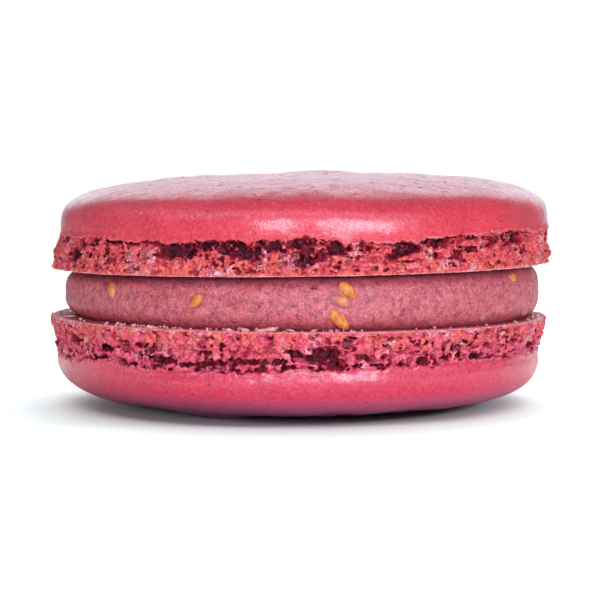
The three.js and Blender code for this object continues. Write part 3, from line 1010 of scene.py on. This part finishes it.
def make_crumbs():
    """The drawn crumbs and the flakes at the front."""
    unit, unit_faces = ball(12, 8)
    rng = np.random.default_rng(CRUMB_SEED)
    parts = []
    for k in range(CRUMB_COUNT):
        at_front = rng.random() < CRUMB_FRONT_SHARE
        angle = rng.uniform(*CRUMB_FRONT) if at_front else rng.uniform(-180, 180)
        size = CRUMB_SIZE[0] + (CRUMB_SIZE[1] - CRUMB_SIZE[0]) * rng.random() ** 2
        shape = dented(unit, size * rng.uniform(0.6, 1.3, 3), 5 * k, CRUMB_DENTS)
        shape += (0, -rng.uniform(*CRUMB_RADII), 0.6 * size)
        parts.append((on_ledge(shape, angle), unit_faces))
    for k, (angle, out, long, wide, thick, lean) in enumerate(FLAKES):
        shape = dented(unit, (long, wide, thick), 3.3 * k, FLAKE_DENTS)
        shape[:, 2] += shape[:, 0] * math.tan(math.radians(lean)) + thick
        parts.append((on_ledge(shape + (0, -out, 0), angle), unit_faces))
    return one_piece("meringue_crumbs", parts)


crumbs = make_crumbs()

# %% [markdown]
# ## Raspberry hairs
#
# Every raspberry carries fine dry hairs, and some end up in the ganache. Each hair here is
# a thin tube along a bent line that lies on the ganache's side. A tube of five sides is
# enough for something less than a tenth of a millimetre thick.

# %% Hairs on the ganache
HAIR_RADIUS = 0.035
HAIR_STEPS = 14
HAIR_HEIGHT = 0.06  # how far its middle line lies off the ganache
HAIR_SEED = 77  # starts the hairs' random draws
FRONT_HAIRS = [  # degrees at the middle, height, length, lean from level, bend
    (25.2, 11.75, 1.4, 18, 0.5),
    (34.5, 12.2, 2.2, -10, 0.6),
    (37.5, 11.9, 1.5, 25, -0.5),
    (-47.5, 9.6, 1.9, 80, 0.4),
    (-43, 10.4, 1.2, 55, -0.6),
    (16.5, 11.3, 1.1, -35, 0.7),
    (47, 11.3, 1.3, 40, 0.6),
]
HAIR_COUNT = 16
HAIR_LIMITS = ((90, 300), (9, 12), (0.9, 2.2), (-80, 80))  # the first four, for a drawn one


def tube(path, radius, sides=5):
    """Points and faces of a thin tube along a path, pointed at both ends."""
    ahead = np.gradient(path, axis=0)
    ahead /= np.linalg.norm(ahead, axis=1)[:, None]
    side = np.cross(ahead, (0, 0.01, 1))
    side /= np.linalg.norm(side, axis=1)[:, None]
    up = np.cross(side, ahead)
    thick = radius * np.sqrt(np.clip(np.sin(np.linspace(0, math.pi, len(path))), 0, 1))
    around = np.arange(sides)[:, None] * 2 * math.pi / sides
    ring = np.cos(around)[:, :, None] * side[None] + np.sin(around)[:, :, None] * up[None]
    points = path[None] + ring * thick[None, :, None]
    return points.reshape(-1, 3), lathe_faces(sides, len(path))


def hair_path(angle, level, length, lean, bend):
    """A bent line on the ganache's side."""
    along = np.linspace(-0.5, 0.5, HAIR_STEPS) * length
    lean = math.radians(lean)
    bow = bend * (along**2) / length
    across = along * math.cos(lean) - bow * math.sin(lean)
    z = level + along * math.sin(lean) + bow * math.cos(lean)
    z = np.clip(z, side_level(LOWER, 0) + 0.1, side_level(UPPER, 0) - 0.1)
    radius = side_radius(z) + HAIR_HEIGHT
    a = math.radians(angle) + across / FILLING_RADIUS
    return np.stack([radius * np.sin(a) + FILLING_SHIFT, -radius * np.cos(a), z], axis=1)


def make_hairs():
    """The hairs at the front, and drawn ones elsewhere."""
    rng = np.random.default_rng(HAIR_SEED)
    hairs = list(FRONT_HAIRS)
    while len(hairs) < HAIR_COUNT:
        bend = rng.uniform(-0.8, 0.8)
        rest = [rng.uniform(*limits) for limits in HAIR_LIMITS]
        hairs.append((*rest, bend))
    parts = [tube(hair_path(*hair), HAIR_RADIUS) for hair in hairs]
    return one_piece("raspberry_hairs", parts)


hairs = make_hairs()

# %% [markdown]
# ## Flecks of fruit
#
# Scraps of the berry's dark skin stay in the ganache when it is sieved. Those that show at
# its side are flat dented balls, sunk until only their faces stand out.

# %% Flecks of fruit
FLECK_SIZE = (0.2, 0.05, 0.12)  # half sizes across, outwards and up, in mm
FLECK_PROUD = 0.02  # how far a fleck's middle lies off the ganache
FLECK_SEED = 5  # starts the flecks' random draws
FLECKS = [(2.6, 11.7, 1.3), (-36, 10.9, 0.7), (-9.5, 10.2, 0.5), (20.5, 10.4, 0.6), (41, 10.2, 0.6)]
FLECK_COUNT = 22  # the five above are degrees, height and size, and the rest are drawn
FLECK_LIMITS = ((80, 290), (8.9, 12), (0.4, 1.1))


def make_flecks():
    """The flecks at the front, and drawn ones elsewhere."""
    rng = np.random.default_rng(FLECK_SEED)
    unit, unit_faces = ball(10, 8)
    flecks = list(FLECKS)
    while len(flecks) < FLECK_COUNT:
        flecks.append([rng.uniform(*limits) for limits in FLECK_LIMITS])
    parts = []
    for k, (angle, level, size) in enumerate(flecks):
        shape = dented(unit, size * np.array(FLECK_SIZE), 9 * k, CRUMB_DENTS)
        shape += (0, -(side_radius(level) + FLECK_PROUD), level)
        parts.append((on_ganache(shape, angle), unit_faces))
    return one_piece("raspberry_flecks", parts)


flecks = make_flecks()

# %% [markdown]
# ## Materials
#
# Blender wants linear colours, but a colour is easiest to read as a web colour, so one
# function turns hex into linear. One more adds a node with its settings and links, and
# every material below is built with it. A pattern's Scale is the number of repeats in a
# metre, so per_metre gives it from a size in millimetres.
#
# Each finish starts with a ground colour and lays tints over it, as a baker dusts a cake:
# every tint covers only where its ramps say so. A ramp is some signal, such as a noise, a
# height or a depth, with the value where it starts and the value where it is full.


# %% Helpers for materials
def linear(hex_colour):
    """A web colour such as d04060 as linear red, green, blue and alpha."""
    channels = [int(hex_colour[i : i + 2], 16) / 255 for i in (0, 2, 4)]
    return (*(c / 12.92 if c <= 0.04045 else ((c + 0.055) / 1.055) ** 2.4 for c in channels), 1)


def per_metre(size):
    """The Scale of a pattern whose repeats are so many millimetres apart."""
    return 1 / (size * MM)


def node(tree, kind, inputs=None, **settings):
    """Adds a node, sets its options, links or sets its inputs, and returns its outputs."""
    made = tree.nodes.new("ShaderNode" + kind)
    for name, value in settings.items():
        setattr(made, name, value)
    for name, value in (inputs or {}).items():
        if isinstance(value, bpy.types.NodeSocket):
            tree.links.new(value, made.inputs[name])
        else:
            made.inputs[name].default_value = value
    return made.outputs


def share_of(tree, *ramps):
    """The product of ramps, each 0 where its signal is at its start and 1 where it is full."""
    share = None
    for signal, start, full in ramps:
        ramp = node(tree, "MapRange", {"Value": signal, "From Min": start, "From Max": full})[0]
        both = {0: share, 1: ramp}
        share = ramp if share is None else node(tree, "Math", both, operation="MULTIPLY")[0]
    return share


def tint(tree, colour, hex_colour, *ramps):
    """A colour with another laid over it where all the ramps say so."""
    inputs = {"Factor": share_of(tree, *ramps), 6: colour, 7: linear(hex_colour)}
    return node(tree, "Mix", inputs, data_type="RGBA")[2]


def finished(name, recipe):
    """A material whose surface a recipe makes from the place of each point."""
    made = bpy.data.materials.new(name)
    made.use_nodes = True
    tree = made.node_tree
    tree.nodes.clear()
    where = node(tree, "TexCoord")["Object"]
    node(tree, "OutputMaterial", {"Surface": recipe(tree, where)})
    print(name, "has", len(tree.nodes), "nodes")
    return made


print("d04060 is", [round(c, 3) for c in linear("d04060")])

# %% [markdown]
# ## The skin's finish
#
# Baked almond meringue: sugar and egg white dry to a satin crust, dusted with almond too
# fine to sieve out. The crust is opaque but lets a little red light bleed sideways. To the
# eye it is a soft sheen over deep pink, broken up by fine grain, with darker specks of
# almond skin and paler ones of almond. The torn edge below is dry and pale, with a painted
# highlight where it catches the light. The lower dome is painted pinker for the light that
# reaches it, and its lowest band is painted paler and mauve with light from the white table.
#
# The sheen is a coat over the crust. Its bump is less than half as deep as the crust's own,
# because sugar fills the grain, and it is weaker on some grains, on top, near the table and
# at the upper dome's torn edge. On top the crust is wrinkled and has pinholes, where bubbles
# broke while it dried.

# %% Baked almond meringue skin
SKIN_MOTTLE = 3.5  # mm between patches of a slightly lighter red
GRAIN_WIDTH = 0.19  # mm: twice that of fine ground almond, or it would not show
DARK_SPECKS = (1.5, 0.19, 0.32)  # mm between places for one, its radius, share of them taken
PALE_SPECKS = (1.9, 0.16, 0.35)
PINHOLES = (1.3, 0.28, 0.4)
PINHOLE_DEPTH = 0.25  # mm
WRINKLE_WIDTH = 0.8  # mm
WRINKLE_DEPTH = 0.08
GRAIN_DEPTHS = (0.02, 0.009)  # mm: the crust's own, and its coat's


def speckle(tree, where, field, radius, share):
    """1 inside scattered round specks, 0 outside. Only a share of the places has one."""
    places = node(tree, "TexVoronoi", {"Vector": where, "Scale": per_metre(field), "Randomness": 1})
    dice = node(tree, "SeparateColor", {"Color": places["Color"]})
    inside = (places["Distance"], radius / field, 0.45 * radius / field)
    return share_of(tree, inside, (dice["Red"], 1 - share, 1 - share + 0.02))


def meringue_skin(tree, where):
    above_lip = node(tree, "Attribute", attribute_name="above_lip")["Fac"]
    height = node(tree, "SeparateXYZ", {"Vector": where})["Z"]
    mottle = node(tree, "TexNoise", {"Vector": where, "Scale": per_metre(SKIN_MOTTLE), "Detail": 3})[0]
    grain = node(tree, "TexVoronoi", {"Vector": where, "Scale": per_metre(GRAIN_WIDTH)})
    dice = node(tree, "SeparateColor", {"Color": grain["Color"]})
    uneven = (dice["Blue"], -1, 0.7)

    colour = tint(tree, linear("d3263a"), "e13142", (mottle, 0.35, 0.65))
    # painted light: the lower dome, of the same batter as the upper, is made pinker for the light that
    # reaches it from below
    colour = tint(tree, colour, "da2656", (height, 9 * MM, -0.5 * MM))  # pinker low down
    colour = tint(tree, colour, "ef5a6a", (dice["Red"], 0.5, 1.9))  # lighter grains
    colour = tint(tree, colour, "8c1430", (dice["Green"], 0.5, 1.9))  # darker grains
    colour = tint(tree, colour, "5e1430", (speckle(tree, where, *DARK_SPECKS), 0, 1), uneven)
    colour = tint(tree, colour, "e87888", (speckle(tree, where, *PALE_SPECKS), 0, 1), uneven)
    # painted light: the lowest band of the lower dome is made paler and mauve, as if lit from the white
    # table
    colour = tint(tree, colour, "bc6c96", (height, 2.6 * MM, 0.6 * MM))  # painted table light
    # pale torn edge: partly the dry edge's own colour, partly a painted highlight where the edge catches
    # the light
    colour = tint(tree, colour, "e88c98", (above_lip, 0.1, -0.04), (mottle, 0.4, 0.6), uneven)

    on_top = share_of(tree, (above_lip, 3.4, 4.4))
    wrinkles = node(tree, "TexNoise", {"Vector": where, "Scale": per_metre(WRINKLE_WIDTH), "Detail": 4})
    folds = share_of(tree, (wrinkles[0], 0, 1), (on_top, 0, 1))
    pits = share_of(tree, (speckle(tree, where, *PINHOLES), 0, 1), (on_top, 0, 1))
    folded = node(tree, "Bump", {"Height": folds, "Distance": WRINKLE_DEPTH * MM, "Strength": 1})
    pitted = {"Height": pits, "Distance": PINHOLE_DEPTH * MM, "Strength": 1, "Normal": folded[0]}
    pitted = node(tree, "Bump", pitted, invert=True)
    grained = {"Height": grain["Distance"], "Strength": 1, "Normal": pitted[0]}
    crust, coat = [node(tree, "Bump", {**grained, "Distance": d * MM})[0] for d in GRAIN_DEPTHS]
    dull_edge = share_of(tree, (above_lip, 0.9, -0.5), (height, 8 * MM, 14 * MM))
    sugared = share_of(
        tree, (pits, 1.1, 0), (height, 1.2 * MM, 3.6 * MM), (dice["Red"], -0.7, 0.6),
        (dull_edge, 1, 0), (on_top, 4, 0),
    )
    return node(tree, "BsdfPrincipled", {
        "Base Color": colour, "Roughness": 0.55, "IOR": 1.45, "Normal": crust,
        "Coat Weight": sugared, "Coat Roughness": 0.25, "Coat IOR": 1.6, "Coat Normal": coat,
        "Subsurface Weight": 0.2, "Subsurface Scale": 0.5 * MM, "Subsurface Radius": (1.0, 0.3, 0.25),
    })[0]


skin = finished("baked_almond_meringue_skin", meringue_skin)

# %% [markdown]
# ## The crumb's finish
#
# Open meringue crumb: broken walls of sugar glass and almond. Near the rim it is toasted to
# orange in patches. Down in the hollows it is painted crimson to plum as shade, and what
# stands out is painted lighter as light. In some patches it is glazed and glints in small
# points, and there pale violet specks are painted in as more glints. The lower foot is
# painted pinker and lighter for the light it catches. The very edge of the flat side is a
# thin dry crust.
#
# The marks made with the crumb say how deep each point lies and how high. Each tint below
# is laid over the ones before it, so the painted shade of the hollows comes late.

# %% Open meringue crumb
TOASTED_PATCH = 1.3  # mm
GLAZED_PATCH = 1.9
SUGAR_GRAIN = 0.16  # mm: coarser than the icing sugar in it, or it would not show
SUGAR_ROUGHNESS = 0.2
SUGAR_DEPTH = 0.1
GLINT_IOR = 2.0  # above sugar's 1.56, or points this small would not glint


def meringue_crumb(tree, where):
    depth, level, inwards = [
        node(tree, "Attribute", attribute_name=name)["Fac"] for name in ("depth", "level", "inwards")
    ]
    height = node(tree, "SeparateXYZ", {"Vector": where})["Z"]
    toast = node(tree, "TexNoise", {"Vector": where, "Scale": per_metre(TOASTED_PATCH), "Detail": 3})[0]
    glaze = node(tree, "TexNoise", {"Vector": where, "Scale": per_metre(GLAZED_PATCH), "Detail": 2})[0]
    grain = node(tree, "TexVoronoi", {"Vector": where, "Scale": per_metre(SUGAR_GRAIN)})
    dice = node(tree, "SeparateColor", {"Color": grain["Color"]})
    rim = (level, 0.14, 0.06)

    # painted light: the lower foot, of the same batter as the upper, is made pinker and lighter for the
    # light and glints it catches
    colour = tint(tree, linear("dc3a4a"), "f05084", (height, 14 * MM, 0))  # pinker low down
    colour = tint(tree, colour, "ee6448", (toast, 0.42, 0.6), (level, 2.9, 0.4))
    colour = tint(tree, colour, "f89890", (dice["Red"], 0.6, 1.2))  # lighter grains
    colour = tint(tree, colour, "8c1a28", (dice["Green"], 0.5, 1.1))  # darker grains
    # painted light: what stands out of the crumb is made lighter, as if lit
    colour = tint(tree, colour, "ea6268", (depth, 0.05, -0.35), (dice["Blue"], 0, 1))  # proud
    # painted glints: pale violet specks in the glazed patches
    colour = tint(tree, colour, "f0a0bc", (glaze, 0.58, 0.75), (dice["Blue"], 0.2, 1.0))  # painted glints
    # painted shade in the hollows: crimson, then plum the deeper a point lies
    colour = tint(tree, colour, "92102a", (depth, 0.02, 0.5))  # painted shade
    colour = tint(tree, colour, "560a20", (depth, 0.4, 1.1))  # painted deeper shade
    colour = tint(tree, colour, "a02c44", rim, (inwards, 0.3, 0.6), (toast, 0.3, 0.6))
    colour = tint(tree, colour, "e8989a", rim, (inwards, 0.6, 0.3), (dice["Blue"], -0.3, 0.6))

    rough = node(tree, "TexNoise", {"Vector": where, "Scale": per_metre(SUGAR_ROUGHNESS), "Detail": 3})
    bump = node(tree, "Bump", {"Height": rough[0], "Distance": SUGAR_DEPTH * MM, "Strength": 0.8})[0]
    return node(tree, "BsdfPrincipled", {
        "Base Color": colour, "Roughness": 0.6, "IOR": 1.4, "Normal": bump,
        "Coat Weight": share_of(tree, (glaze, 0.53, 0.62), (depth, 0.8, 0.3)),
        "Coat Roughness": 0.12, "Coat IOR": GLINT_IOR, "Coat Normal": bump,
        "Subsurface Weight": 0.06, "Subsurface Scale": 0.3 * MM, "Subsurface Radius": (1.0, 0.3, 0.25),
    })[0]


crumb = finished("open_meringue_crumb", meringue_crumb)

# %% [markdown]
# ## Loose crumbs
#
# The same meringue, but dry and dusty all round, so it is paler and has no shine.

# %% Dry meringue crumbs
DUST_PATCH = 0.5  # mm


def dry_meringue(tree, where):
    dust = node(tree, "TexNoise", {"Vector": where, "Scale": per_metre(DUST_PATCH), "Detail": 3})[0]
    return node(tree, "BsdfPrincipled", {
        "Base Color": tint(tree, linear("cc5062"), "f0b0a8", (dust, 0.35, 0.65)),
        "Roughness": 0.6, "IOR": 1.5,
        "Normal": node(tree, "Bump", {"Height": dust, "Distance": 0.05 * MM, "Strength": 0.5})[0],
        "Subsurface Weight": 0.2, "Subsurface Scale": 0.3 * MM, "Subsurface Radius": (1.0, 0.4, 0.35),
    })[0]


dry_crumb = finished("dry_meringue_crumbs", dry_meringue)

# %% [markdown]
# ## The ganache's finish
#
# Raspberry and white chocolate ganache, set cold: fat crystals make it dull and fine
# grained, dusky pink, with lighter and darker grains of fruit. Where it meets the shells it
# is painted darker as shade, most of all under the upper one. It has only a faint shine.

# %% Raspberry ganache
GANACHE_MOTTLE = 1.6  # mm
FRUIT_PULP = 0.6
FRUIT_GRAIN = 0.11
GANACHE_DENTS = 0.3
GANACHE_DENT_DEPTH = 0.08


def set_ganache(tree, where):
    mottle = node(tree, "TexNoise", {"Vector": where, "Scale": per_metre(GANACHE_MOTTLE), "Detail": 4})[0]
    pulp = node(tree, "TexNoise", {"Vector": where, "Scale": per_metre(FRUIT_PULP), "Detail": 4})[0]
    grain = node(tree, "TexVoronoi", {"Vector": where, "Scale": per_metre(FRUIT_GRAIN)})
    dice = node(tree, "SeparateColor", {"Color": grain["Color"]})
    to_shell = node(tree, "Attribute", attribute_name="to_shell")["Fac"]
    out_of_shade = node(tree, "Math", {0: to_shell, 1: mottle}, operation="SUBTRACT")[0]

    colour = tint(tree, linear("ca565c"), "da6a6e", (mottle, 0.35, 0.65))
    colour = tint(tree, colour, "963846", (pulp, 0.58, 0.3))
    colour = tint(tree, colour, "f0a0a8", (dice["Red"], 0.5, 1.7))  # lighter grains
    colour = tint(tree, colour, "842838", (dice["Green"], 0.5, 1.5))  # darker grains
    # painted shade where the ganache meets the shells, most of all under the upper one
    colour = tint(tree, colour, "682438", (out_of_shade, 0.6, -0.5))

    dents = node(tree, "TexNoise", {"Vector": where, "Scale": per_metre(GANACHE_DENTS), "Detail": 4})[0]
    bump = {"Height": dents, "Distance": GANACHE_DENT_DEPTH * MM, "Strength": 0.8}
    return node(tree, "BsdfPrincipled", {
        "Base Color": colour, "Roughness": 0.5, "IOR": 1.45, "Normal": node(tree, "Bump", bump)[0],
        "Subsurface Weight": 0.15, "Subsurface Scale": 0.4 * MM, "Subsurface Radius": (1.0, 0.4, 0.3),
    })[0]


filling = finished("set_raspberry_ganache", set_ganache)

# %% [markdown]
# ## The seeds' finish
#
# A raspberry seed has a hard ochre coat, pitted and a little glossy. Where ganache smears
# it, the coat shows through in patches, so the smear is a noise cut off at a level that
# each seed sets for itself.

# %% Raspberry seed coat
SEED_MOTTLE = 0.5  # mm
SMEAR_PATCH = 0.9


def seed_coat(tree, where):
    cover = node(tree, "Attribute", attribute_name="cover")["Fac"]
    mottle = node(tree, "TexNoise", {"Vector": where, "Scale": per_metre(SEED_MOTTLE), "Detail": 3})[0]
    smear = node(tree, "TexNoise", {"Vector": where, "Scale": per_metre(SMEAR_PATCH), "Detail": 2})[0]
    bare = node(tree, "Math", {0: smear, 1: cover}, operation="SUBTRACT")[0]
    colour = tint(tree, linear("cc6826"), "e8964a", (mottle, 0.35, 0.65))
    return node(tree, "BsdfPrincipled", {
        "Base Color": tint(tree, colour, "b86870", (bare, 0.08, -0.06)),
        "Roughness": 0.4, "IOR": 1.5,
        "Normal": node(tree, "Bump", {"Height": mottle, "Distance": 0.06 * MM, "Strength": 0.6})[0],
        "Subsurface Weight": 0.2, "Subsurface Scale": 0.3 * MM, "Subsurface Radius": (1.0, 0.6, 0.3),
    })[0]


ochre_coat = finished("raspberry_seed_coat", seed_coat)

# %% [markdown]
# ## The finish of hairs and flecks
#
# The hairs are dried styles of the berry: straw pink, like a stiff hair, with a slight
# shine. The flecks are the berry's skin, dark as wine. Both are so small that two shades
# in patches are all that the eye gets.

# %% Raspberry hairs and flecks
def in_two_shades(first, second, patch, roughness, ior):
    """The recipe of a finish with patches of two shades."""

    def recipe(tree, where):
        patches = node(tree, "TexNoise", {"Vector": where, "Scale": per_metre(patch), "Detail": 2})[0]
        colour = tint(tree, linear(first), second, (patches, 0.35, 0.65))
        return node(tree, "BsdfPrincipled", {"Base Color": colour, "Roughness": roughness, "IOR": ior})[0]

    return recipe


dry_hair = finished("dried_raspberry_hair", in_two_shades("a85860", "e0a8a0", 0.6, 0.4, 1.5))
berry_skin = finished("raspberry_skin_fleck", in_two_shades("4a1418", "7a2c34", 0.2, 0.45, 1.45))

# %% [markdown]
# ## Every piece in its place
#
# Each piece gets its finish, the body it rides on and the solid it stands for. Crumbs,
# hairs and flecks stand for no solid.

# %% Finishes and places in the frame
for shell, foot, dome in zip(SHELLS, feet, domes):
    foot.data.materials.append(crumb)
    dome.data.materials.append(skin)
    for piece in (foot, dome):
        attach(piece, "root")
        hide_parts(shell["node"])
crumbs.data.materials.append(dry_crumb)
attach(crumbs, "root")
ganache.data.materials.append(filling)
seeds.data.materials.append(ochre_coat)
for piece in (ganache, seeds):
    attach(piece, "root")
    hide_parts("raspberry_filling")
hairs.data.materials.append(dry_hair)
flecks.data.materials.append(berry_skin)
for piece in (hairs, flecks):
    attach(piece, "root")
macaron = [*feet, *domes, crumbs, ganache, seeds, hairs, flecks]
print("the macaron has", len(macaron), "pieces")

# %% [markdown]
# ## The table and the backdrop
#
# The macaron stands on white, in front of a bright backdrop. The backdrop lights the top
# and gives the domes their pale sheen where the eye skims over them, and the rest of the
# room is dim, which keeps the sides deep red. The camera itself sees plain white, because a
# world can tell a camera ray from the others. The table does the same: it looks white, but
# it throws less light up at the macaron than white paper would.

# %% The table
FLOOR_RADIUS = 0.3
PAPER_TOOTH = 2  # mm


def white_paper(tree, where):
    tooth = node(tree, "TexNoise", {"Vector": where, "Scale": per_metre(PAPER_TOOTH), "Detail": 2})[0]
    white = tint(tree, linear("d2dcdb"), "d6dfde", (tooth, 0, 1))
    seen = node(tree, "LightPath")["Is Camera Ray"]
    white = tint(tree, white, "bababa", (seen, 1, 0))
    return node(tree, "BsdfPrincipled", {"Base Color": white, "Roughness": 0.9, "IOR": 1.3})[0]


bpy.ops.mesh.primitive_circle_add(vertices=96, radius=FLOOR_RADIUS, fill_type="NGON")
floor = bpy.context.object
floor.name = "table"
floor.data.materials.append(finished("white_table", white_paper))

# %% The backdrop
DAYLIGHT = (0.85, 0.95, 1.05, 1)  # a little blue, so the pale sheen is violet rather than pink
ROOM = 0.25  # brightness of the dim room, where white paper in full light is 1
BACKDROP = 1.75
BACKDROP_AZIMUTH = math.radians(5)  # of its middle, towards the right
BACKDROP_HEIGHT = math.radians(12)  # of its middle
BACKDROP_NARROWNESS = 1.8  # how much taller it is than wide, seen from the macaron
BACKDROP_EDGE = (0.66, 0.86)  # cosines of the angles from its middle where it ends and is full
BACKDROP_FOOT = 0.65  # its share of that brightness at the table's level
BACKDROP_FULL = math.radians(10)  # height above which it has all of it
BACKDROP_MIDDLE = (
    math.sin(BACKDROP_AZIMUTH) * math.cos(BACKDROP_HEIGHT),
    math.cos(BACKDROP_AZIMUTH) * math.cos(BACKDROP_HEIGHT),
    math.sin(BACKDROP_HEIGHT),
)

world = bpy.data.worlds.new("studio")
bpy.context.scene.world = world
world.use_nodes = True
tree = world.node_tree
tree.nodes.clear()
direction = node(tree, "TexCoord")["Generated"]
narrowed = {0: direction, 1: (BACKDROP_NARROWNESS, 1, 1)}
narrowed = node(tree, "VectorMath", narrowed, operation="MULTIPLY")["Vector"]
turned = node(tree, "VectorMath", {0: narrowed}, operation="NORMALIZE")["Vector"]
towards = node(tree, "VectorMath", {0: turned, 1: BACKDROP_MIDDLE}, operation="DOT_PRODUCT")["Value"]
edge = {"From Min": BACKDROP_EDGE[0], "From Max": BACKDROP_EDGE[1], "To Min": ROOM, "To Max": BACKDROP}
brightness = node(tree, "MapRange", {"Value": towards, **edge}, interpolation_type="SMOOTHSTEP")[0]
climb = node(tree, "SeparateXYZ", {"Vector": direction})["Z"]
rise = {"From Min": 0, "From Max": math.sin(BACKDROP_FULL), "To Min": BACKDROP_FOOT, "To Max": 1}
foot_share = node(tree, "MapRange", {"Value": climb, **rise})[0]
strength = node(tree, "Math", {0: brightness, 1: foot_share}, operation="MULTIPLY")[0]
lit = node(tree, "Background", {"Strength": strength, "Color": DAYLIGHT})[0]
plain = node(tree, "Background", {"Color": (1, 1, 1, 1), "Strength": 1})[0]
seen = node(tree, "LightPath")["Is Camera Ray"]
both = node(tree, "MixShader", {0: seen, 1: lit, 2: plain})[0]
node(tree, "OutputWorld", {"Surface": both})
print("backdrop towards", tuple(round(c, 3) for c in BACKDROP_MIDDLE))

# %% [markdown]
# ## Windows, and light on the table
#
# Two window panes low in front make the two bright patches on the domes' sides, a broad
# skylight above lights what faces up, and a pale wall at the left gives the domes' left ends
# a faint sheen. Window light that reached the table would drown the soft shadow under the
# macaron, so light linking keeps these lamps to the macaron, and three suns light only the
# table: a very soft one from behind makes the wide shadow in front, and two narrower ones
# from the sides clear the shadow's ends. Every piece still casts its shadow in all of them.


# %% The lamps
LAMP_DISTANCE = 0.5
MIDDLE_HEIGHT = 10 * MM  # the lamps face this height
WINDOW_LIGHT = (0.80, 0.92, 1.12)  # bluer, because a window shows the sky


def lamp(name, kind, azimuth, elevation, energy, pieces, **settings):
    """A lamp for these pieces alone. Azimuth 0 is in front of the macaron, 90 at its right."""
    data = bpy.data.lights.new(name, kind)
    data.energy = energy
    for setting, value in settings.items():
        setattr(data, setting, value)
    made = bpy.data.objects.new(name, data)
    a, e = math.radians(azimuth), math.radians(elevation)
    away = np.array((math.sin(a) * math.cos(e), -math.cos(a) * math.cos(e), math.sin(e)))
    made.location = LAMP_DISTANCE * away + (0, 0, MIDDLE_HEIGHT)
    made.rotation_euler = (math.radians(90) - e, 0, a)
    bpy.context.scene.collection.objects.link(made)
    lit_pieces = bpy.data.collections.new(name + "_lights")
    for piece in pieces:
        lit_pieces.objects.link(piece)
    made.light_linking.receiver_collection = lit_pieces


WINDOWS = (  # name, azimuth, elevation, width, height, watts, what it lights
    ("left_pane", -12, 10, 0.11, 0.11, 0.62, macaron),
    ("right_pane", 24, 10, 0.28, 0.11, 1.35, macaron),
    ("skylight", -2, 46, 1.1, 0.2, 1.0, macaron),
    ("left_wall", -80, 42, 0.5, 0.3, 0.22, domes),
)
for name, azimuth, elevation, width, height, watts, pieces in WINDOWS:
    size = {"shape": "RECTANGLE", "size": width, "size_y": height}
    lamp(name, "AREA", azimuth, elevation, watts, pieces, color=WINDOW_LIGHT, **size)

SUNS = (  # name, azimuth, elevation, spread in degrees, strength
    ("table_light", 160, 53, 120, 6.1),
    ("table_light_left", -70, 13, 28, 1.1),
    ("table_light_right", 84, 20, 12, 1.4),
)
for name, azimuth, elevation, spread, power in SUNS:
    lamp(name, "SUN", azimuth, elevation, power, [floor], angle=math.radians(spread))
bpy.context.scene.view_settings.view_transform = "Standard"
print(len(WINDOWS), "windows and", len(SUNS), "suns")
